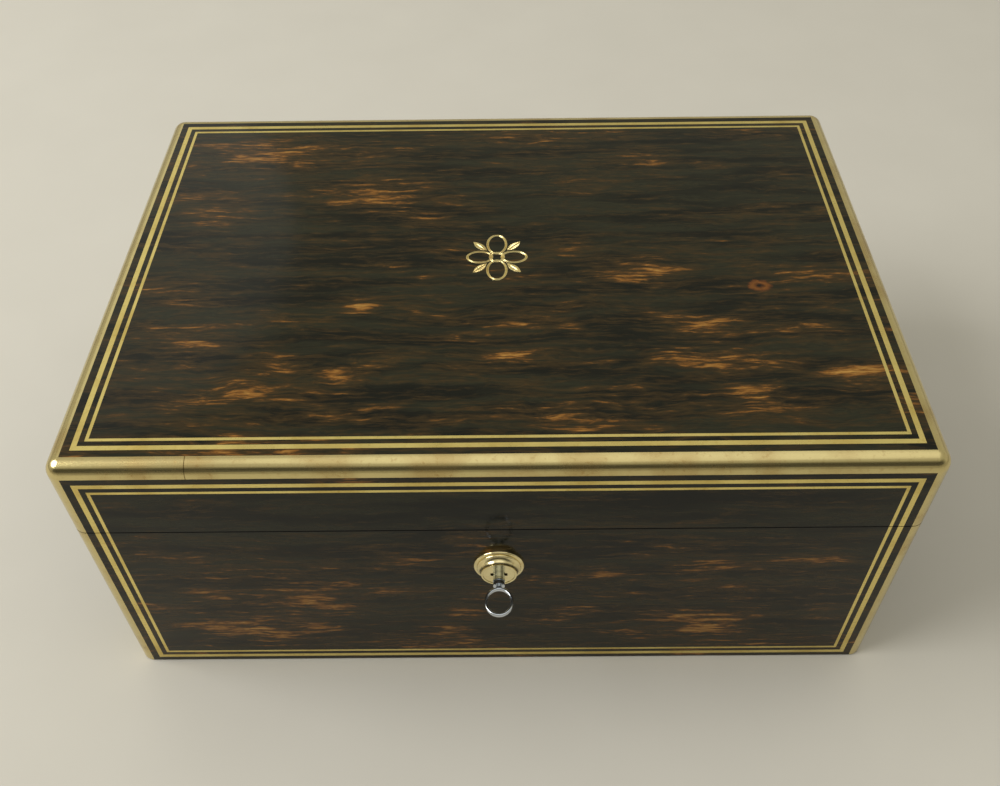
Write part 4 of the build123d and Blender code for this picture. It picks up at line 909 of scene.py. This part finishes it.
for quarter in range(4):
    turn = math.radians(45 + 90 * quarter)
    axis, side = Vector((math.cos(turn), math.sin(turn), 0)), Vector((-math.sin(turn), math.cos(turn), 0))
    start, count, across = len(vertices), ornament["leafPoints"], len(ornament["leafSection"])
    for k in range(count + 1):
        t = k / count
        wide = max(ornament["leafTip"], bulge * (1 - (2 * t - 1) ** 2))
        for s, offset in enumerate(ornament["leafSection"]):
            height = 0.0
            if s in (0, across - 1):
                height = -deep
            elif abs(offset) == 1:
                height = -bevel
            elif offset == 0:  # the vein
                height = -ornament["grooveDepth"] * min(1, wide)
            elif abs(offset) == 0.5:  # short slanting cuts either side of the vein
                cut = (t * (outer - inner) / ornament["hatch"] - abs(offset) * wide) % 1
                height = -ornament["hatchDepth"] * max(0, math.sin(cut * 2 * math.pi)) * min(1, wide)
            along = axis * (inner + (outer - inner) * t)
            vertices.append(middle + along + side * offset * wide + Vector((0, 0, top + height)))
    faces += [face[::-1] for face in ringFaces(start, count + 1, across)]
    faces += [tuple(range(start, start + across)), tuple(range(start + count * across, len(vertices)))[::-1]]
engraved = newPiece("engraved_ornament", meshFrom("ornament", vertices, faces), metal["brassEngraved"], "lid",
                    "brass_inlay", "lid_ornament")
for face in engraved.data.polygons:
    face.use_smooth = False
print("ornament engraved")


# Small pads on the tray's floor, one in each well between the walls and the dividers.

padGap = 0.3
low, high = boxOf("tray_floor_pads")
clear = boards["divider"] / 2 + padGap
frontRow = (low.y, frontY - clear)
middleRow = (frontY + clear, backY - clear)
backRow = (backY + clear, high.y)
wells = [(low.x, -ringX - clear, frontRow), (ringX + clear, high.x, frontRow), (low.x, -clear, middleRow),
         (clear, high.x, middleRow), (low.x, high.x, backRow)]
for number, (x1, x2, (y1, y2)) in enumerate(wells, 1):
    makePad(f"tray_pad_{number}", (x1, y1, low.z), (x2, y2, high.z), False, body="tray",
            replaced="tray_floor_pads", **pads["tray"])
print("tray pads made")


# Lifting tabs: a strip of leather with a round end, glued inside the wall and stitched.

tabs = {
    "width": 14.0, "thick": 0.8,
    # share of the thickness, and how far the outline is drawn in there
    "layers": ((0.0, 0.22), (0.2, 0.05), (0.5, 0.0), (0.8, 0.05), (1.0, 0.22)),
    "sideSteps": 5, "endSteps": 16,
    "lean": 1.2, "leanFrom": 97.0, "leanOver": 6.0,  # the free end leans into the tray
    "stitchFrom": 88.0, "stitchInset": 1.6, "stitchPitch": 2.25,
    "stitch": (0.15, 0.85),  # where in its pitch a stitch comes out and goes in again
    "thread": 0.3, "threadRise": 0.12, "threadPoints": 6,
    "threadRings": (0.0, 0.25, 0.5, 0.75, 1.0),
    "pinch": 0.12,  # of half a wave: the thread is pinched where it goes in
}


def leanAt(height):
    return tabs["lean"] * max(0.0, (height - tabs["leanFrom"]) / tabs["leanOver"]) ** 2


def placeAlong(points, lengths, distance):
    # the place on a line of points, whose lengths from the start are known
    for (a, b), start, end in zip(zip(points, points[1:]), lengths, lengths[1:]):
        if distance <= end:
            t = (distance - start) / (end - start)
            return a[0] + (b[0] - a[0]) * t, a[1] + (b[1] - a[1]) * t
    return points[-1]


low, high = boxOf("tray_lift_tabs")
centreY, outer, half = (low.y + high.y) / 2, high.x, tabs["width"] / 2
roundV = high.z - half  # where the straight sides end and the round end starts
outline = [(half, low.z + (roundV - low.z) * k / tabs["sideSteps"]) for k in range(tabs["sideSteps"])]
for step in range(tabs["endSteps"] + 1):
    angle = step * math.pi / tabs["endSteps"]
    outline.append((half * math.cos(angle), roundV + half * math.sin(angle)))
outline += [(-u, v) for u, v in outline[:tabs["sideSteps"]][::-1]]
scale = 1 - tabs["stitchInset"] / half
stitchLine = [(u * scale, roundV + (v - roundV) * scale if v > roundV else v) for u, v in outline]
stitchLine = [p for p in stitchLine if p[1] > tabs["stitchFrom"]]
lengths = [0.0]
for a, b in zip(stitchLine, stitchLine[1:]):
    lengths.append(lengths[-1] + math.dist(a, b))
stitchCount = int(lengths[-1] / tabs["stitchPitch"])
for side, name in ((-1, "left"), (1, "right")):
    rings = []
    for depth, shrink in tabs["layers"]:
        ring = []
        for u, v in outline:
            towards = Vector((u, v - roundV if v > roundV else 0))
            if towards.length:
                towards.normalize()
            foot = shrink if v <= low.z + touching else 0
            x = side * (outer - depth * tabs["thick"] - leanAt(v))
            ring.append((x, centreY + u - shrink * towards.x, v - shrink * towards.y + foot))
        rings.append(ring if side < 0 else ring[::-1])
    newPiece(f"lift_tab_{name}", ringMesh("tab", rings), leather, "tray", "leather", "tray_lift_tabs")
    vertices, faces = [], []
    for stitch in range(stitchCount):
        first, last = [Vector(placeAlong(stitchLine, lengths, lengths[-1] * (stitch + t) / stitchCount))
                       for t in tabs["stitch"]]
        direction = (last - first).normalized()
        across = Vector((-direction.y, direction.x)) * tabs["thread"] / 2
        base, count, pinch = len(vertices), tabs["threadPoints"], tabs["pinch"]
        for t in tabs["threadRings"]:
            u, v = first + (last - first) * t
            swell = math.sin(math.pi * (pinch + (1 - 2 * pinch) * t))
            for angle in evenAngles(count):
                out = tabs["thick"] + tabs["threadRise"] * swell * math.sin(angle)
                shift = across * swell * math.cos(angle)
                vertices.append((side * (outer - out - leanAt(v)), centreY + u + shift.x, v + shift.y))
        faces += ringFaces(base, len(tabs["threadRings"]), count)
        faces += [tuple(range(base, base + count)), tuple(range(len(vertices) - count, len(vertices)))]
    newPiece(f"tab_stitches_{name}", meshFrom("stitches", vertices, faces), cordSilk, "tray", "leather")
print("tabs made")


# Baize glued to the underside, its cut edge a little fuzzy.

underside = {"columns": 41, "rows": 29, "cornerCut": 1.0, "fuzz": 0.12, "fuzzSize": 3, "gap": 0.02}

low, high = boxOf("underside_baize")
halfX, halfY, columns, rows = high.x, high.y, underside["columns"], underside["rows"]
fuzz, fuzzSize, cut = underside["fuzz"], underside["fuzzSize"], underside["cornerCut"]
vertices = []
for z in (high.z - underside["gap"], low.z + underside["gap"]):
    for j in range(rows):
        for i in range(columns):
            x = -halfX + 2 * halfX * i / (columns - 1)
            y = -halfY + 2 * halfY * j / (rows - 1)
            endX, endY = i in (0, columns - 1), j in (0, rows - 1)
            if endX and endY:
                x, y = x - math.copysign(cut, x), y - math.copysign(cut, y)
            if endX:
                x -= math.copysign(fuzz + fuzz * noise.noise(Vector((y / fuzzSize, 1, 0))), x)
            if endY:
                y -= math.copysign(fuzz + fuzz * noise.noise(Vector((x / fuzzSize, 2, 0))), y)
            vertices.append((x, y, z))
baizeMesh = meshFrom("baize", vertices, backedFaces(gridFaces(columns, rows), columns, rows))
baizeSheet = newPiece("baize_sheet", baizeMesh, woolBaize, "base", "baize", "underside_baize")
print("baize laid")


# The studio: a wide floor of matt pale paper, which only takes soft shadows, and a pale room.

studio = {
    "floor": ("#C9C5BA", "#CFCBC0"), "floorHalf": 40.0,  # two shades, and metres
    "cloud": 60,  # size of the changes of shade, in mm
    # the room from level to overhead; it starts in the colour that the floor has far off, to show no edge
    "walls": [(0.0, "#9A9584"), (0.14, "#C6C2B6"), (0.6, "#BBB8A8"), (1.0, "#D6D3CB")],
    "roomLevel": 0.95, "darkFront": 0.85,  # the unlit half of the room, behind the camera
    "darkFrom": (-0.2, -0.7), "darkAbove": (0.08, 0.2), "darkBelow": (0.72, 0.56),  # of the way to look
    "lamps": [  # name, place, size, watts, in metres
        ("windowSoftbox", (-1.6, -0.25, 1.55), (1.5, 1.2), 32.0),
        ("ceilingSoftbox", (0.3, -0.1, 2.3), (2.8, 2.2), 6.5),
        ("backWindow", (-1.0, 1.45, 1.3), (1.1, 0.9), 0.9),
    ],
    "aim": (0, 0, 0.07),
}

mesh = bpy.data.meshes.new("studioFloor")
grid = bmesh.new()
bmesh.ops.create_grid(grid, x_segments=8, y_segments=8, size=studio["floorHalf"])
grid.to_mesh(mesh)
grid.free()
floor = bpy.data.objects.new("studioFloor", mesh)
bpy.context.scene.collection.objects.link(floor)
floorMaterial, tree, shader, place = startMaterial("paperBackdropMatt", Roughness=0.9, IOR=1.45)
cloud = addNode(tree, "TexNoise", {"Vector": place, "Scale": 1 / studio["cloud"], "Detail": 3.0})
colour = addNode(tree, "Mix", {0: cloud, 6: studio["floor"][0], 7: studio["floor"][1]}, 2, data_type="RGBA")
tree.links.new(colour, shader.inputs["Base Color"])
mesh.materials.append(floorMaterial)

world = bpy.data.worlds.new("studioRoom")
bpy.context.scene.world = world
world.use_nodes = True
tree = world.node_tree
tree.nodes.clear()
direction = addNode(tree, "TexCoord", out="Generated")
back = addNode(tree, "SeparateXYZ", (direction,), "Y")
up = addNode(tree, "SeparateXYZ", (direction,), "Z")
walls = addNode(tree, "ValToRGB", (up,), stops=studio["walls"])
facing = addNode(tree, "MapRange", (back, *studio["darkFrom"]), interpolation_type="SMOOTHSTEP")
above = addNode(tree, "MapRange", (up, *studio["darkAbove"]), interpolation_type="SMOOTHSTEP")
below = addNode(tree, "MapRange", (up, *studio["darkBelow"]), interpolation_type="SMOOTHSTEP")
band = addNode(tree, "Math", (above, below), operation="MULTIPLY")
dark = addNode(tree, "Math", (facing, band), operation="MULTIPLY")
darkLevel = studio["roomLevel"] * (1 - studio["darkFront"])
level = addNode(tree, "MapRange", (dark, 0, 1, studio["roomLevel"], darkLevel))
background = addNode(tree, "Background", (walls, level))
addNode(tree, "OutputWorld", (background,), is_active_output=True)

for name, spot, size, watts in studio["lamps"]:
    lamp = bpy.data.lights.new(name, "AREA")
    lamp.shape = "ELLIPSE"
    lamp.size, lamp.size_y = size
    lamp.energy = watts
    holder = bpy.data.objects.new(name, lamp)
    holder.location = spot
    holder.rotation_euler = (Vector(studio["aim"]) - Vector(spot)).to_track_quat("-Z", "Y").to_euler()
    bpy.context.scene.collection.objects.link(holder)

# the photograph's place and angle of view, in metres and radians
view = {"place": (0.0036003, -0.3415368, 0.423588), "turn": (0.74633, 0.01071, -0.00236), "lens": 36.487}

camera = bpy.data.objects.new("photoCamera", bpy.data.cameras.new("photoCamera"))
camera.location = view["place"]
camera.rotation_euler = view["turn"]
camera.data.sensor_width = 36.0
camera.data.lens = view["lens"]
camera.data.clip_start = 0.01
bpy.context.scene.collection.objects.link(camera)
bpy.context.scene.camera = camera
bpy.context.scene.view_settings.view_transform = "Standard"
print("studio ready")
